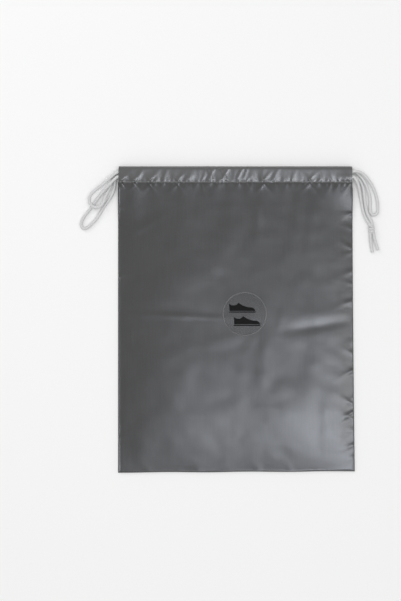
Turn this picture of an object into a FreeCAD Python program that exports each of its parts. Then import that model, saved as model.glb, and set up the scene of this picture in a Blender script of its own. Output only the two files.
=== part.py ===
"""A drawstring shoe bag of satin-faced polyester, lying flat with its mouth towards +Y.

All sizes are in millimetres. X runs across the bag, Y up to the mouth and Z up from the
surface it lies on. The origin is the middle of the bag's footprint, on that surface.
Cloth is modelled thicker than it is, so that each layer is a sound closed solid.
"""

import FreeCAD
import Part
import math
import os

Vector = FreeCAD.Vector

# Overall sizes of the bag
bag_width = 300.0
bag_height = 392.0

# Cloth and how its layers lie on each other
cloth = 0.4
layer_gap = 0.3
seam_width = 8.0
seam_layers = 2

# Casings: the folded hems at the mouth that the cords run through
casing_height = 20.0
front_setback = 1.5
casing_inset = 1.0
casing_lip = 2.0
casing_taper = 3.0
slit_drop = 6.5

# Front panel: a low flat-topped form over the space inside
flank_width = 32.0
edge_clearance = 0.6
shoulder_drop = 34.0

# Thread
thread_width = 0.5
thread_height = 0.25
seam_thread_inset = 1.0
bartack_length = 6.0
bartack_width = 1.2

# Cords
cord_diameter = 4.0
bore_clearance = 0.15
upper_run_height = 14.0
lower_run_height = 8.4
bend_share = 0.45
cord_rise = 0.05
body_gap = 0.4
exit_depth = 4.0

# Knot that joins the left cord's ends inside the front casing
hidden_knot_x = 8.0
hidden_knot_length = 12.0
hidden_knot_width = 7.6
hidden_knot_round = 1.6

# Knot and tails at the end of the right cord
pull_knot_length = 12.0
pull_knot_diameter = 8.8
pull_knot_neck = 7.6

# Printed badge on the front
film_diameter = 56.0
film_thickness = 0.15
badge_x = 12.0
badge_y = 7.0
ink_thickness = 0.1
shoe_length = 34.0
shoe_spacing = 17.0
shoe_offset = 6.0

# Values that follow from the ones above
half_width = bag_width / 2
bottom_y = -bag_height / 2
mouth_y = bag_height / 2
cord_radius = cord_diameter / 2
casing_depth = cord_diameter + 2 * bore_clearance + 2 * cloth
casing_end = half_width - casing_inset
run_end = casing_end - exit_depth
floor_run_z = cord_radius + cord_rise
back_casing_y = mouth_y - casing_height
front_casing_y = back_casing_y - front_setback
front_casing_z = casing_depth + layer_gap
front_lip_z = front_casing_z + casing_depth / 2 - cloth
front_top_z = front_lip_z + 2 * cloth
seam_top_z = cloth + seam_layers * cloth
slit_y = back_casing_y - slit_drop

# Cord routes outside the bag, as (outwards from the side edge, down from the mouth's top
# edge, lift above lying on the surface). Each one begins inside its casing's end.
pull_bight_route = [
    (-0.4, 7.6, 5.9),
    (4.6, 10.2, 5.6),
    (12.4, 17.0, 5.1),
    (21.4, 25.4, 4.8),
    (32.4, 33.2, 4.7),
    (37.8, 42.4, 4.7),
    (33.8, 51.2, 4.7),
    (25.4, 53.8, 4.7),
    (18.6, 48.0, 4.7),
    (16.6, 40.4, 3.9),
    (13.6, 34.0, 1.8),
    (10.6, 28.2, 0.2),
    (8.6, 22.0, 0.0),
    (8.2, 15.4, 0.0),
    (5.6, 9.2, 0.2),
    (-0.4, 6.1, 0.5),
]
slack_bight_route = [
    (-0.4, 13.3, 5.9),
    (3.6, 16.2, 5.6),
    (8.7, 21.3, 5.1),
    (13.6, 26.6, 4.5),
    (19.4, 32.8, 2.4),
    (24.8, 39.6, 0.4),
    (30.6, 48.0, 0.0),
    (37.2, 56.6, 0.0),
    (44.2, 65.2, 0.0),
    (47.8, 73.0, 0.0),
    (46.2, 78.8, 0.0),
    (40.6, 80.0, 0.0),
    (33.2, 73.4, 0.0),
    (26.4, 65.6, 0.0),
    (21.4, 57.0, 0.0),
    (16.6, 49.6, 0.0),
    (11.0, 42.4, 0.0),
    (6.8, 34.8, 0.0),
    (4.6, 27.4, 0.0),
    (4.1, 20.8, 0.0),
    (3.0, 15.0, 0.1),
    (-0.8, 11.8, 0.5),
]
return_bight_route = [
    (-0.2, 7.2, 5.9),
    (4.6, 6.2, 5.6),
    (11.2, 8.4, 4.6),
    (17.8, 14.4, 2.8),
    (23.6, 22.4, 0.9),
    (28.4, 31.8, 0.0),
    (31.4, 42.6, 0.0),
    (32.3, 52.0, 0.0),
    (32.1, 59.4, 0.0),
    (29.4, 62.1, 0.0),
    (25.6, 62.1, 0.0),
    (22.9, 59.4, 0.0),
    (22.5, 52.2, 0.0),
    (22.8, 43.0, 0.0),
    (20.9, 33.8, 0.0),
    (17.7, 24.4, 0.0),
    (13.8, 17.0, 0.0),
    (9.2, 11.4, 0.0),
    (4.4, 7.6, 0.3),
    (-0.4, 6.1, 0.5),
]
front_lead_route = [
    (-0.4, 13.3, 5.9),
    (3.6, 16.4, 5.4),
    (6.8, 22.6, 4.2),
    (8.6, 30.0, 2.0),
    (10.0, 38.0, 0.3),
    (11.3, 46.4, 0.0),
    (12.7, 54.6, 0.0),
    (15.1, 62.8, 0.6),
    (18.2, 69.2, 1.9),
    (20.8, 73.2, 2.4),
]
back_lead_route = [
    (-0.4, 11.7, 0.5),
    (4.2, 13.6, 0.2),
    (9.4, 18.4, 0.0),
    (13.0, 25.6, 0.0),
    (14.8, 33.8, 0.0),
    (15.6, 42.4, 0.0),
    (16.6, 50.8, 0.0),
    (18.2, 59.2, 0.4),
    (21.9, 67.0, 1.7),
    (25.2, 72.5, 2.4),
]
knot_centre = (23.9, 80.2)
knot_lean = (0.1, -1.0)
inner_tail_route = [
    (22.4, 87.0, 2.2),
    (22.9, 94.2, 0.3),
    (23.9, 102.2, 0.0),
    (25.4, 110.0, 0.0),
]
outer_tail_route = [
    (26.8, 86.6, 2.2),
    (28.3, 93.4, 0.3),
    (30.4, 100.6, 0.0),
    (32.6, 107.4, 0.0),
]


def box(x0, x1, y0, y1, z0, z1):
    """A block between two corners."""
    return Part.makeBox(x1 - x0, y1 - y0, z1 - z0, Vector(x0, y0, z0))


def casing(y, z, lip_z, y_fold):
    """A flattened tube of cloth: a stitched lip, a taper, and a round fold at the mouth."""

    def outline(inset, lip_y, low, high):
        radius = casing_depth / 2 - inset
        taper_y = y + casing_lip + casing_taper
        arc_y = y_fold - casing_depth / 2
        middle = z + casing_depth / 2
        points = [(lip_y, high), (taper_y, middle + radius), (arc_y, middle + radius)]
        lower = [(arc_y, middle - radius), (taper_y, middle - radius), (lip_y, low)]
        upper_line = Part.makePolygon([Vector(-casing_end, *point) for point in points])
        lower_line = Part.makePolygon([Vector(-casing_end, *point) for point in lower])
        fold = Part.Arc(
            Vector(-casing_end, arc_y, middle + radius),
            Vector(-casing_end, arc_y + radius, middle),
            Vector(-casing_end, arc_y, middle - radius),
        ).toShape()
        edges = upper_line.Edges + [fold] + lower_line.Edges
        if high > low:
            end = Part.LineSegment(lower_line.Vertexes[-1].Point, upper_line.Vertexes[0].Point)
            edges.append(end.toShape())
        return Part.Face(Part.Wire(edges))

    tunnel = outline(cloth, y + casing_lip, lip_z + cloth, lip_z + cloth)
    shell = outline(0.0, y + casing_lip, lip_z, lip_z + 2 * cloth)
    length = Vector(2 * casing_end, 0, 0)
    lip = box(-casing_end, casing_end, y, y + casing_lip, lip_z, lip_z + 2 * cloth)
    return shell.extrude(length).cut(tunnel.extrude(length)).fuse(lip).removeSplitter()


def front_panel():
    """One sheet of cloth: a flat top, three sloping flanks and two shoulders by the slits."""
    edge_z = seam_top_z + edge_clearance + cloth
    inner_x = half_width - flank_width
    inner_y = bottom_y + flank_width
    shoulder_y = front_casing_y - shoulder_drop

    def corner(x, y, z):
        return Vector(x, y, z)

    flat = [
        corner(-inner_x, inner_y, front_top_z),
        corner(inner_x, inner_y, front_top_z),
        corner(inner_x, front_casing_y, front_top_z),
        corner(-inner_x, front_casing_y, front_top_z),
    ]
    rim = [
        corner(-half_width, bottom_y, edge_z),
        corner(half_width, bottom_y, edge_z),
        corner(half_width, shoulder_y, edge_z),
        corner(-half_width, shoulder_y, edge_z),
    ]
    shoulder_right = corner(half_width, front_casing_y, front_top_z)
    shoulder_left = corner(-half_width, front_casing_y, front_top_z)
    sides = [
        flat,
        [rim[0], rim[1], flat[1], flat[0]],
        [rim[1], rim[2], flat[2], flat[1]],
        [rim[3], rim[0], flat[0], flat[3]],
        [rim[2], shoulder_right, flat[2]],
        [shoulder_left, rim[3], flat[3]],
    ]
    border = [rim[0], rim[1], rim[2], shoulder_right, flat[2], flat[3], shoulder_left, rim[3]]
    down = Vector(0, 0, -cloth)
    faces = [Part.Face(Part.makePolygon(side + side[:1])) for side in sides]
    faces += [face.translated(down) for face in faces]
    for start, end in zip(border, border[1:] + border[:1]):
        wall = [start, end, end + down, start + down]
        faces.append(Part.Face(Part.makePolygon(wall + wall[:1])))
    shell = Part.makeShell(faces)
    shell.sewShape()
    solid = Part.Solid(shell)
    if solid.Volume < 0:
        solid.reverse()
    return solid


def side_seam(side):
    """The overlocked allowance of one side seam, lying inside along the side edge."""
    inner, outer = sorted((side * (half_width - seam_width), side * half_width))
    return box(inner, outer, bottom_y + seam_width, slit_y, cloth, seam_top_z)


def bottom_seam():
    """The overlocked allowance of the bottom seam, whose round outer edge the mouth opens about."""
    radius = (seam_top_z - cloth) / 2
    axis_y = bottom_y + radius
    fold = Part.makeCylinder(
        radius, bag_width, Vector(-half_width, axis_y, cloth + radius), Vector(1, 0, 0)
    )
    strip = box(-half_width, half_width, axis_y, bottom_y + seam_width, cloth, seam_top_z)
    return strip.fuse(fold).removeSplitter()


def thread_bar(x0, x1, y0, y1, z):
    """A row of stitching, as one raised line of thread."""
    return box(x0, x1, y0, y1, z, z + thread_height)


def side_stitches(side):
    """The stitch line of one side seam."""
    inner = side * (half_width - seam_thread_inset - thread_width)
    outer = side * (half_width - seam_thread_inset)
    low, high = sorted((inner, outer))
    end_y = slit_y - bartack_width - thread_width
    return thread_bar(low, high, bottom_y + seam_width, end_y, seam_top_z)


def bottom_stitches():
    """The stitch line of the bottom seam."""
    y = bottom_y + seam_thread_inset
    ends = half_width - seam_thread_inset
    return thread_bar(-ends, ends, y, y + thread_width, seam_top_z)


def bartack(side):
    """The close zigzag of thread that ends a side seam at the foot of its slit."""
    inner, outer = sorted((side * (half_width - bartack_length), side * half_width))
    return thread_bar(inner, outer, slit_y - bartack_width, slit_y, seam_top_z)


def casing_stitches(y, z):
    """The stitch line along a casing's lip."""
    middle = y + casing_lip / 2
    return thread_bar(-casing_end, casing_end, middle - thread_width / 2, middle + thread_width / 2, z)


def cord_run(y, z, x0, x1):
    """A straight stretch of cord inside a casing."""
    return Part.makeCylinder(cord_radius, x1 - x0, Vector(x0, y, z), Vector(1, 0, 0))


def hidden_knot(y, z):
    """The flat knot that joins the left cord's ends, inside the front casing."""
    height = cord_diameter
    low = Vector(hidden_knot_x - hidden_knot_length / 2, y, z - height / 2)
    body = Part.makeBox(hidden_knot_length, hidden_knot_width, height, low)
    return body.makeFillet(hidden_knot_round, body.Edges)


def route_points(side, route, starts=(), ends=()):
    """Turns a route's offsets into points in the bag's frame, between its two exits."""
    offsets = [
        Vector(side * (half_width + out), mouth_y - down, floor_run_z + lift)
        for out, down, lift in route
    ]
    return list(starts) + offsets + list(ends)


def route_edges(name, points):
    """Straight runs joined by tangent arcs, each as large as its two runs allow."""
    edges = []
    radii = []
    last = points[0]
    for before, corner, after in zip(points, points[1:], points[2:]):
        back = before - corner
        ahead = after - corner
        half_turn = (math.pi - back.getAngle(ahead)) / 2
        reach = bend_share * min(back.Length, ahead.Length)
        radius = reach / math.tan(half_turn)
        back.normalize()
        ahead.normalize()
        inwards = (back + ahead).normalize()
        start = corner + back * reach
        end = corner + ahead * reach
        middle = corner + inwards * (radius / math.cos(half_turn) - radius)
        edges.append(Part.LineSegment(last, start).toShape())
        edges.append(Part.Arc(start, middle, end).toShape())
        radii.append(radius)
        last = end
    edges.append(Part.LineSegment(last, points[-1]).toShape())
    print(name, "bend radii:", " ".join(f"{radius:.1f}" for radius in radii))
    return edges


def tube(name, edges):
    """A round cord along joined edges."""
    first = edges[0]
    start = first.valueAt(first.FirstParameter)
    along = first.tangentAt(first.FirstParameter)
    path = Part.Wire(edges)
    ring = Part.Wire(Part.makeCircle(cord_radius, start, along))
    solid = path.makePipeShell([ring], True, False)
    drawn = math.pi * cord_radius**2 * path.Length
    print(name, f"length {path.Length:.1f} mm, volume over section x length {solid.Volume / drawn:.4f}")
    return solid


def cut_route(edges, cut_runs):
    """Divides a route at the middle of some straight runs, leaving a small gap at each."""
    sections = [[]]
    for number, edge in enumerate(edges):
        if number % 2 == 0 and number // 2 in cut_runs:
            start, end = (vertex.Point for vertex in edge.Vertexes)
            along = (end - start).normalize()
            middle = (start + end) / 2
            sections[-1].append(Part.LineSegment(start, middle - along * body_gap / 2).toShape())
            sections.append([Part.LineSegment(middle + along * body_gap / 2, end).toShape()])
        else:
            sections[-1].append(edge)
    return sections


def pull_knot():
    """The overhand knot of both cord ends, as a barrel that narrows at its ends."""
    centre = Vector(half_width + knot_centre[0], mouth_y - knot_centre[1], pull_knot_diameter / 2)
    half = pull_knot_length / 2
    neck = pull_knot_neck / 2
    side_line = Part.Arc(
        Vector(neck, -half, 0),
        Vector(pull_knot_diameter / 2, 0, 0),
        Vector(neck, half, 0),
    ).toShape()
    corners = [Vector(neck, half, 0), Vector(0, half, 0), Vector(0, -half, 0), Vector(neck, -half, 0)]
    face = Part.Face(Part.Wire([side_line] + Part.makePolygon(corners).Edges))
    barrel = face.revolve(Vector(0, 0, 0), Vector(0, 1, 0), 360)
    lean = FreeCAD.Rotation(Vector(0, -1, 0), Vector(knot_lean[0], knot_lean[1], 0))
    barrel.Placement = FreeCAD.Placement(centre, lean)
    return barrel


def badge_film():
    """The clear round film that carries the print."""
    centre = Vector(badge_x, badge_y, front_top_z)
    return Part.makeCylinder(film_diameter / 2, film_thickness, centre)


def shoe_print(x, y, z):
    """A low shoe seen from the side: an upper, and a sole with a narrow gap between them."""
    unit = shoe_length / 36

    def place(u, v):
        return Vector(x + (u - 18) * unit, y + v * unit, z)

    def arc(first, second, third):
        return Part.Arc(place(*first), place(*second), place(*third)).toShape()

    def line(first, second):
        return Part.LineSegment(place(*first), place(*second)).toShape()

    upper = [
        line((0.6, 2.2), (0.0, 12.4)),
        arc((0.0, 12.4), (6.6, 9.6), (12.6, 13.4)),
        arc((12.6, 13.4), (20.0, 9.0), (28.6, 7.0)),
        arc((28.6, 7.0), (33.6, 5.4), (35.6, 2.2)),
        line((35.6, 2.2), (0.6, 2.2)),
    ]
    sole = [
        arc((0.2, 1.4), (-0.4, 0.7), (0.2, 0.0)),
        line((0.2, 0.0), (34.6, 0.0)),
        arc((34.6, 0.0), (35.8, 0.5), (36.2, 1.4)),
        line((36.2, 1.4), (0.2, 1.4)),
    ]
    raise_by = Vector(0, 0, ink_thickness)
    return [Part.Face(Part.Wire(edges)).extrude(raise_by) for edges in (upper, sole)]


def badge_mark():
    """A printed pair of low shoes, one above the other."""
    z = front_top_z + film_thickness
    low_y = badge_y - shoe_spacing + shoe_length / 36 * 2.0
    shoes = shoe_print(badge_x - shoe_offset / 2, low_y + shoe_spacing, z)
    shoes += shoe_print(badge_x + shoe_offset / 2, low_y, z)
    return Part.makeCompound(shoes)


def exit_point(side, casing_y, run_height, z):
    """Where a cord's outer stretch takes over from its run inside a casing."""
    return Vector(side * (run_end + body_gap), casing_y + run_height, z)


def make_nodes():
    """Every piece of the bag, by name."""
    back_z = casing_depth / 2
    front_z = front_casing_z + casing_depth / 2
    upper_front_y = front_casing_y + upper_run_height
    lower_front_y = front_casing_y + lower_run_height
    knot_y = lower_front_y + cord_radius + bore_clearance
    knot_low_x = hidden_knot_x - hidden_knot_length / 2
    knot_high_x = hidden_knot_x + hidden_knot_length / 2
    nodes = {
        "back_panel": box(-half_width, half_width, bottom_y, back_casing_y, 0.0, cloth),
        "back_casing": casing(back_casing_y, 0.0, 0.0, mouth_y),
        "bottom_seam_allowance": bottom_seam(),
        "bottom_seam_stitches": bottom_stitches(),
        "back_casing_stitches": casing_stitches(back_casing_y, 2 * cloth),
        "front_panel": front_panel(),
        "front_casing": casing(front_casing_y, front_casing_z, front_lip_z, mouth_y - front_setback),
        "front_casing_stitches": casing_stitches(front_casing_y, front_top_z),
        "badge_film": badge_film(),
        "badge_print": badge_mark(),
        "left_cord_hidden_knot": hidden_knot(knot_y, front_z),
    }
    for name, side in (("left", -1), ("right", 1)):
        nodes[f"{name}_seam_allowance"] = side_seam(side)
        nodes[f"{name}_seam_stitches"] = side_stitches(side)
        nodes[f"{name}_slit_bartack"] = bartack(side)

    nodes["right_cord_front_run"] = cord_run(lower_front_y, front_z, -run_end, run_end)
    nodes["left_cord_front_run"] = Part.makeCompound(
        [
            cord_run(upper_front_y, front_z, -run_end, knot_low_x),
            cord_run(upper_front_y, front_z, knot_high_x, run_end),
        ]
    )
    for name, height in (("left", upper_run_height), ("right", lower_run_height)):
        y = back_casing_y + height
        nodes[f"{name}_cord_back_run"] = cord_run(y, back_z, -run_end, run_end)

    bights = [
        ("left_cord_pull", -1, upper_run_height, pull_bight_route, (3, 9)),
        ("right_cord_slack", -1, lower_run_height, slack_bight_route, (8, 14)),
        ("left_cord_slack", 1, upper_run_height, return_bight_route, (7, 13)),
    ]
    for name, side, height, route, cuts in bights:
        start = exit_point(side, front_casing_y, height, front_z)
        end = exit_point(side, back_casing_y, height, back_z)
        edges = route_edges(name, route_points(side, route, [start], [end]))
        parts = cut_route(edges, cuts)
        for label, section in zip(("front_strand", "bight", "back_strand"), parts):
            nodes[f"{name}_{label}"] = tube(f"{name}_{label}", section)

    leads = [
        ("right_cord_front_lead", front_casing_y, front_z, front_lead_route),
        ("right_cord_back_lead", back_casing_y, back_z, back_lead_route),
    ]
    for name, casing_y, z, route in leads:
        start = exit_point(1, casing_y, lower_run_height, z)
        nodes[name] = tube(name, route_edges(name, route_points(1, route, [start])))
    nodes["right_cord_knot"] = pull_knot()
    for name, route in (("inner", inner_tail_route), ("outer", outer_tail_route)):
        node = f"right_cord_{name}_tail"
        nodes[node] = tube(node, route_edges(node, route_points(1, route)))
    return nodes


os.makedirs("parts", exist_ok=True)
for node, shape in make_nodes().items():
    shape.exportStep(f"parts/{node}.step")
    size = shape.BoundBox
    print(f"{node}: {len(shape.Solids)} solid, valid {shape.isValid()}, volume {shape.Volume:.1f},", end=" ")
    print(f"z {size.ZMin:.2f} to {size.ZMax:.2f}")
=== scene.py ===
# %% [markdown]
# # A drawstring shoe bag
#
# The object is a flat bag of satin cloth. Two panels are sewn together along three sides, and
# the fourth side is the mouth. At the mouth each panel is folded over into a casing, and two
# soft cords run through both casings and come out at the two sides. The script builds every
# piece at its real size, in metres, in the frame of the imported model: X runs across the bag,
# Y runs up to the mouth and Z points up from the surface that the bag lies on.

import math
import random

import bpy
import numpy as np
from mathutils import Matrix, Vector
from mathutils.geometry import delaunay_2d_cdt


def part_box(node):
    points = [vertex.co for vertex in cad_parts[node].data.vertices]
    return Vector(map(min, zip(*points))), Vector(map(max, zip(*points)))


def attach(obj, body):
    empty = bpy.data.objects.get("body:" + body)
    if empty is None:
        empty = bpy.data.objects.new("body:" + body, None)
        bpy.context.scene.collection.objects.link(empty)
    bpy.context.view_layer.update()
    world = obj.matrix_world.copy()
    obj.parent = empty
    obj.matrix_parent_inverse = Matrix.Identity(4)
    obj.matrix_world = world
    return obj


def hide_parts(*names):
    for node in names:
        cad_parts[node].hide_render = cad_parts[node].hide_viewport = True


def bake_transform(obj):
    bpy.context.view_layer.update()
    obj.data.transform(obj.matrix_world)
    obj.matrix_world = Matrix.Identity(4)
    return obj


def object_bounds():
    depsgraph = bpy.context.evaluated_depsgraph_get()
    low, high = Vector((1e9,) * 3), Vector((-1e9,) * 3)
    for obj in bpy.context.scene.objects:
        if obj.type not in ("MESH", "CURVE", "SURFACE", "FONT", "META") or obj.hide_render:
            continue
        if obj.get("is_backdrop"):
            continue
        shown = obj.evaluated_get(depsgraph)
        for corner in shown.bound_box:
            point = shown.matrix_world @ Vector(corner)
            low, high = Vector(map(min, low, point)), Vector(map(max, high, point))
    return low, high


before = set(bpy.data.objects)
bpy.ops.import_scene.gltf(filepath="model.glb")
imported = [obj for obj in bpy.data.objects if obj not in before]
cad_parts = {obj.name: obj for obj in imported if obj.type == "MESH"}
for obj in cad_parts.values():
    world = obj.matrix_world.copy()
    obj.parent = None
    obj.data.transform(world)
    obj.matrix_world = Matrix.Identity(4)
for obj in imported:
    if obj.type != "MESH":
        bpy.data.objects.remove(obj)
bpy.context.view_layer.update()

panel_low, panel_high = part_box("front_panel")
casing_low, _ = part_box("front_casing")
_, back_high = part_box("back_panel")
rear_casing_low, rear_casing_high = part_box("back_casing")
seam_strip_low, seam_strip_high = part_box("right_seam_allowance")
film_low, film_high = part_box("badge_film")

half_width = panel_high.x
bottom_y = panel_low.y
hem_y = casing_low.y
mouth_y = rear_casing_high.y
top_z = panel_high.z
print("loaded", len(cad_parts), "nodes, bag", 2 * half_width, "by", mouth_y - bottom_y)

# %% [markdown]
# ## Camera, floor and light
#
# The camera looks straight down, as at a bag laid out on a table. A satin face only shows its
# sheen where a light is mirrored towards the viewer, so one soft panel stands beyond the lower
# right-hand corner and a smaller one beyond the right edge, and both are seen by gloss alone.
# The rest of the light is even and plain.

# %% Camera, floor and light
camera_data = bpy.data.cameras.new("camera")
camera_data.lens = 100
camera_data.sensor_width = 36
camera = bpy.data.objects.new("camera", camera_data)
camera.location = (-0.0445, 0.0243, 2.138)
bpy.context.scene.collection.objects.link(camera)
bpy.context.scene.camera = camera
bpy.context.scene.view_settings.view_transform = "Standard"


def add_light(name, location, size, power, aim=(0, 0, 0), colour=(1, 1, 1)):
    """A square soft light that points at a place."""
    data = bpy.data.lights.new(name, "AREA")
    data.shape = "SQUARE"
    data.size = size
    data.energy = power
    data.color = colour
    light = bpy.data.objects.new(name, data)
    light.location = location
    light.rotation_euler = (Vector(aim) - Vector(location)).to_track_quat("-Z", "Y").to_euler()
    bpy.context.scene.collection.objects.link(light)
    return light


def plain_mesh(name, points, faces):
    """A mesh object at the origin, linked to the scene."""
    mesh = bpy.data.meshes.new(name)
    mesh.from_pydata(points, [], faces)
    mesh.update()
    piece = bpy.data.objects.new(name, mesh)
    bpy.context.scene.collection.objects.link(piece)
    return piece


overhead = add_light("overhead", (0.1, 0.1, 2.6), size=2.4, power=28)
overhead.visible_glossy = False
sheen_light = add_light(
    "sheen",
    (0.33, -0.38, 1.25),
    size=0.42,
    power=8.7,
    aim=(0.08, -0.08, 0),
    colour=(0.85, 0.90, 1.0),
)
sheen_light.visible_diffuse = False
edge_light = add_light(
    "edge",
    (0.88, -0.27, 1.06),
    size=0.4,
    power=5,
    aim=(0.15, -0.05, 0),
    colour=(0.97, 0.98, 1.0),
)
edge_light.visible_diffuse = False
add_light("side", (-1.1, 1.2, 1.1), size=0.6, power=5)

world = bpy.data.worlds.new("room")
world.use_nodes = True
world.node_tree.nodes["Background"].inputs["Color"].default_value = (1, 1, 1, 1)
world.node_tree.nodes["Background"].inputs["Strength"].default_value = 0.62
bpy.context.scene.world = world

floor_size = 4.0
floor_drop = 0.0003
floor_corners = [
    (x * floor_size, y * floor_size, -floor_drop) for x, y in ((-1, -1), (1, -1), (1, 1), (-1, 1))
]
floor = plain_mesh("floor", floor_corners, [(0, 1, 2, 3)])
floor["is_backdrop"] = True
print("camera, four lights and a floor")

# %% [markdown]
# ## Helpers for node trees
#
# A material is a tree of nodes. Two small helpers keep the trees short: one makes a node and
# fills its inputs, and one makes a group with named sockets, so that an effect is built once
# and placed in several materials with different values.

# %% Node helpers


def add_node(tree, kind, inputs=None, **settings):
    """Makes a node, sets its properties, and fills its inputs with values or links."""
    node = tree.nodes.new(kind)
    for name, value in settings.items():
        setattr(node, name, value)
    for key, value in (inputs or {}).items():
        if isinstance(value, bpy.types.NodeSocket):
            tree.links.new(value, node.inputs[key])
        else:
            node.inputs[key].default_value = value
    return node


def maths(tree, operation, first, second=0.0):
    """One Math node, and its result."""
    return add_node(tree, "ShaderNodeMath", {0: first, 1: second}, operation=operation).outputs[0]


def mix_colour(tree, factor, first, second):
    """A colour between two colours."""
    node = add_node(tree, "ShaderNodeMix", {0: factor, 6: first, 7: second}, data_type="RGBA")
    return node.outputs[2]


def shader_group(name, inputs, outputs):
    """An empty shader group with named float inputs and outputs."""
    tree = bpy.data.node_groups.new(name, "ShaderNodeTree")
    for label, value in inputs.items():
        socket = tree.interface.new_socket(label, in_out="INPUT", socket_type="NodeSocketFloat")
        socket.default_value = value
    for label in outputs:
        tree.interface.new_socket(label, in_out="OUTPUT", socket_type="NodeSocketFloat")
    return tree, tree.nodes.new("NodeGroupInput"), tree.nodes.new("NodeGroupOutput")


def place_group(tree, group, **values):
    """Places a group in a material. An underscore in a value's name stands for a space."""
    node = tree.nodes.new("ShaderNodeGroup")
    node.node_tree = group
    for name, value in values.items():
        node.inputs[name.replace("_", " ")].default_value = value
    return node


def new_material(name):
    """A material with an empty tree that ends in a Principled shader."""
    material = bpy.data.materials.new(name)
    material.use_nodes = True
    tree = material.node_tree
    tree.nodes.clear()
    shader = tree.nodes.new("ShaderNodeBsdfPrincipled")
    output = tree.nodes.new("ShaderNodeOutputMaterial")
    tree.links.new(shader.outputs[0], output.inputs[0])
    return material, tree, shader


def set_sockets(shader, **values):
    """Constants on the shader's own sockets. An underscore in a name stands for a space."""
    for name, value in values.items():
        shader.inputs[name.replace("_", " ")].default_value = value


def bump(tree, shader, height, distance, strength):
    """Feeds a height through a Bump node to the shader."""
    node = add_node(tree, "ShaderNodeBump", {"Height": height, "Distance": distance})
    node.inputs["Strength"].default_value = strength
    tree.links.new(node.outputs[0], shader.inputs["Normal"])


# %% [markdown]
# ## The cloth's finish
#
# Satin looks smooth because each warp thread floats over several weft threads. Close up it is
# a field of fine ribs along the warp, broken where a thread dives under. Far away, the eye
# only sees soft streaks and a slow change of tone. One group makes all of these from the
# cloth's own UV map, which counts metres on the flat pattern, so the weave follows every fold.

# %% Weave group


def make_weave_group():
    """Ribs of a satin weave, with slow tone and fine streaks."""
    tree, given, result = shader_group(
        "satin weave",
        {"Thread Width": 0.00028, "Float Length": 0.0012, "Streaks": 0.5, "Mottle": 0.5},
        ["Height", "Tone", "Gloss"],
    )
    uv = add_node(tree, "ShaderNodeUVMap", uv_map="pattern").outputs[0]
    split = add_node(tree, "ShaderNodeSeparateXYZ", {0: uv})
    across = maths(tree, "DIVIDE", split.outputs[0], given.outputs["Thread Width"])
    along = maths(tree, "DIVIDE", split.outputs[1], given.outputs["Float Length"])
    rib = maths(tree, "ABSOLUTE", maths(tree, "SINE", maths(tree, "MULTIPLY", across, math.pi)))
    column = maths(tree, "FLOOR", across)
    step = maths(tree, "FRACT", maths(tree, "ADD", along, maths(tree, "MULTIPLY", column, 0.4)))
    dive = maths(tree, "POWER", maths(tree, "ABSOLUTE", maths(tree, "SUBTRACT", step, 0.5)), 4.0)
    height = maths(tree, "SUBTRACT", rib, maths(tree, "MULTIPLY", dive, 12.0))

    stretch = add_node(tree, "ShaderNodeMapping", {"Vector": uv, "Scale": (900.0, 26.0, 1.0)})
    streak = add_node(
        tree,
        "ShaderNodeTexNoise",
        {"Vector": stretch.outputs[0], "Scale": 1.0, "Detail": 3.0, "Roughness": 0.6},
    ).outputs[0]
    slow = add_node(
        tree,
        "ShaderNodeTexNoise",
        {"Vector": uv, "Scale": 22.0, "Detail": 4.0, "Roughness": 0.55},
    ).outputs[0]
    streak_part = maths(
        tree, "MULTIPLY", maths(tree, "SUBTRACT", streak, 0.5), given.outputs["Streaks"]
    )
    slow_part = maths(
        tree, "MULTIPLY", maths(tree, "SUBTRACT", slow, 0.5), given.outputs["Mottle"]
    )
    tone = maths(tree, "ADD", 0.5, maths(tree, "ADD", streak_part, slow_part))
    faint = maths(tree, "MULTIPLY", streak_part, 0.6)
    gloss = maths(tree, "ADD", 0.5, maths(tree, "ADD", slow_part, faint))
    tree.links.new(height, result.inputs["Height"])
    tree.links.new(tone, result.inputs["Tone"])
    tree.links.new(gloss, result.inputs["Gloss"])
    return tree


weave_group = make_weave_group()


def make_satin(name, dark, light, smooth, rough, level):
    """Satin cloth between two tones, with a roughness between two values."""
    material, tree, shader = new_material(name)
    weave = place_group(tree, weave_group, Streaks=0.9, Mottle=0.7)
    colour = mix_colour(tree, weave.outputs["Tone"], dark, light)
    tree.links.new(colour, shader.inputs["Base Color"])
    span = maths(tree, "MULTIPLY", weave.outputs["Gloss"], rough - smooth)
    tree.links.new(maths(tree, "ADD", span, smooth), shader.inputs["Roughness"])
    bump(tree, shader, weave.outputs["Height"], distance=0.00004, strength=0.25)
    set_sockets(shader, Specular_IOR_Level=level, Sheen_Weight=0.10, Sheen_Roughness=0.4)
    return material


satin = make_satin(
    "satin_face", (0.032, 0.032, 0.033, 1), (0.050, 0.050, 0.051, 1),
    smooth=0.31, rough=0.37, level=0.6,
)
# The casings' satin is the face's satin painted lighter and made glossier: painted light for the
# bright band that the casing's slope catches.
satin_painted_light = make_satin(
    "satin_casing_painted_light", (0.056, 0.056, 0.057, 1), (0.086, 0.086, 0.088, 1),
    smooth=0.33, rough=0.41, level=0.85,
)
satin_back = make_satin(
    "satin_reverse", (0.040, 0.040, 0.041, 1), (0.056, 0.056, 0.058, 1),
    smooth=0.6, rough=0.75, level=0.4,
)
print("satin face and reverse")

# %% [markdown]
# ## Cord, thread, film and ink
#
# The cords are soft hollow braids: strands cross in two directions round the cord. Their UV
# map counts turns round the cord and metres along it, so two crossing waves draw the braid
# and paint shade into its valleys.
# Thread is twisted from plies, which shows as slanting bands. The badge is a clear transfer
# film whose rim carries a painted highlight, and its ink is matt with faint pinholes.

# %% Braid group and the small finishes


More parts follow.
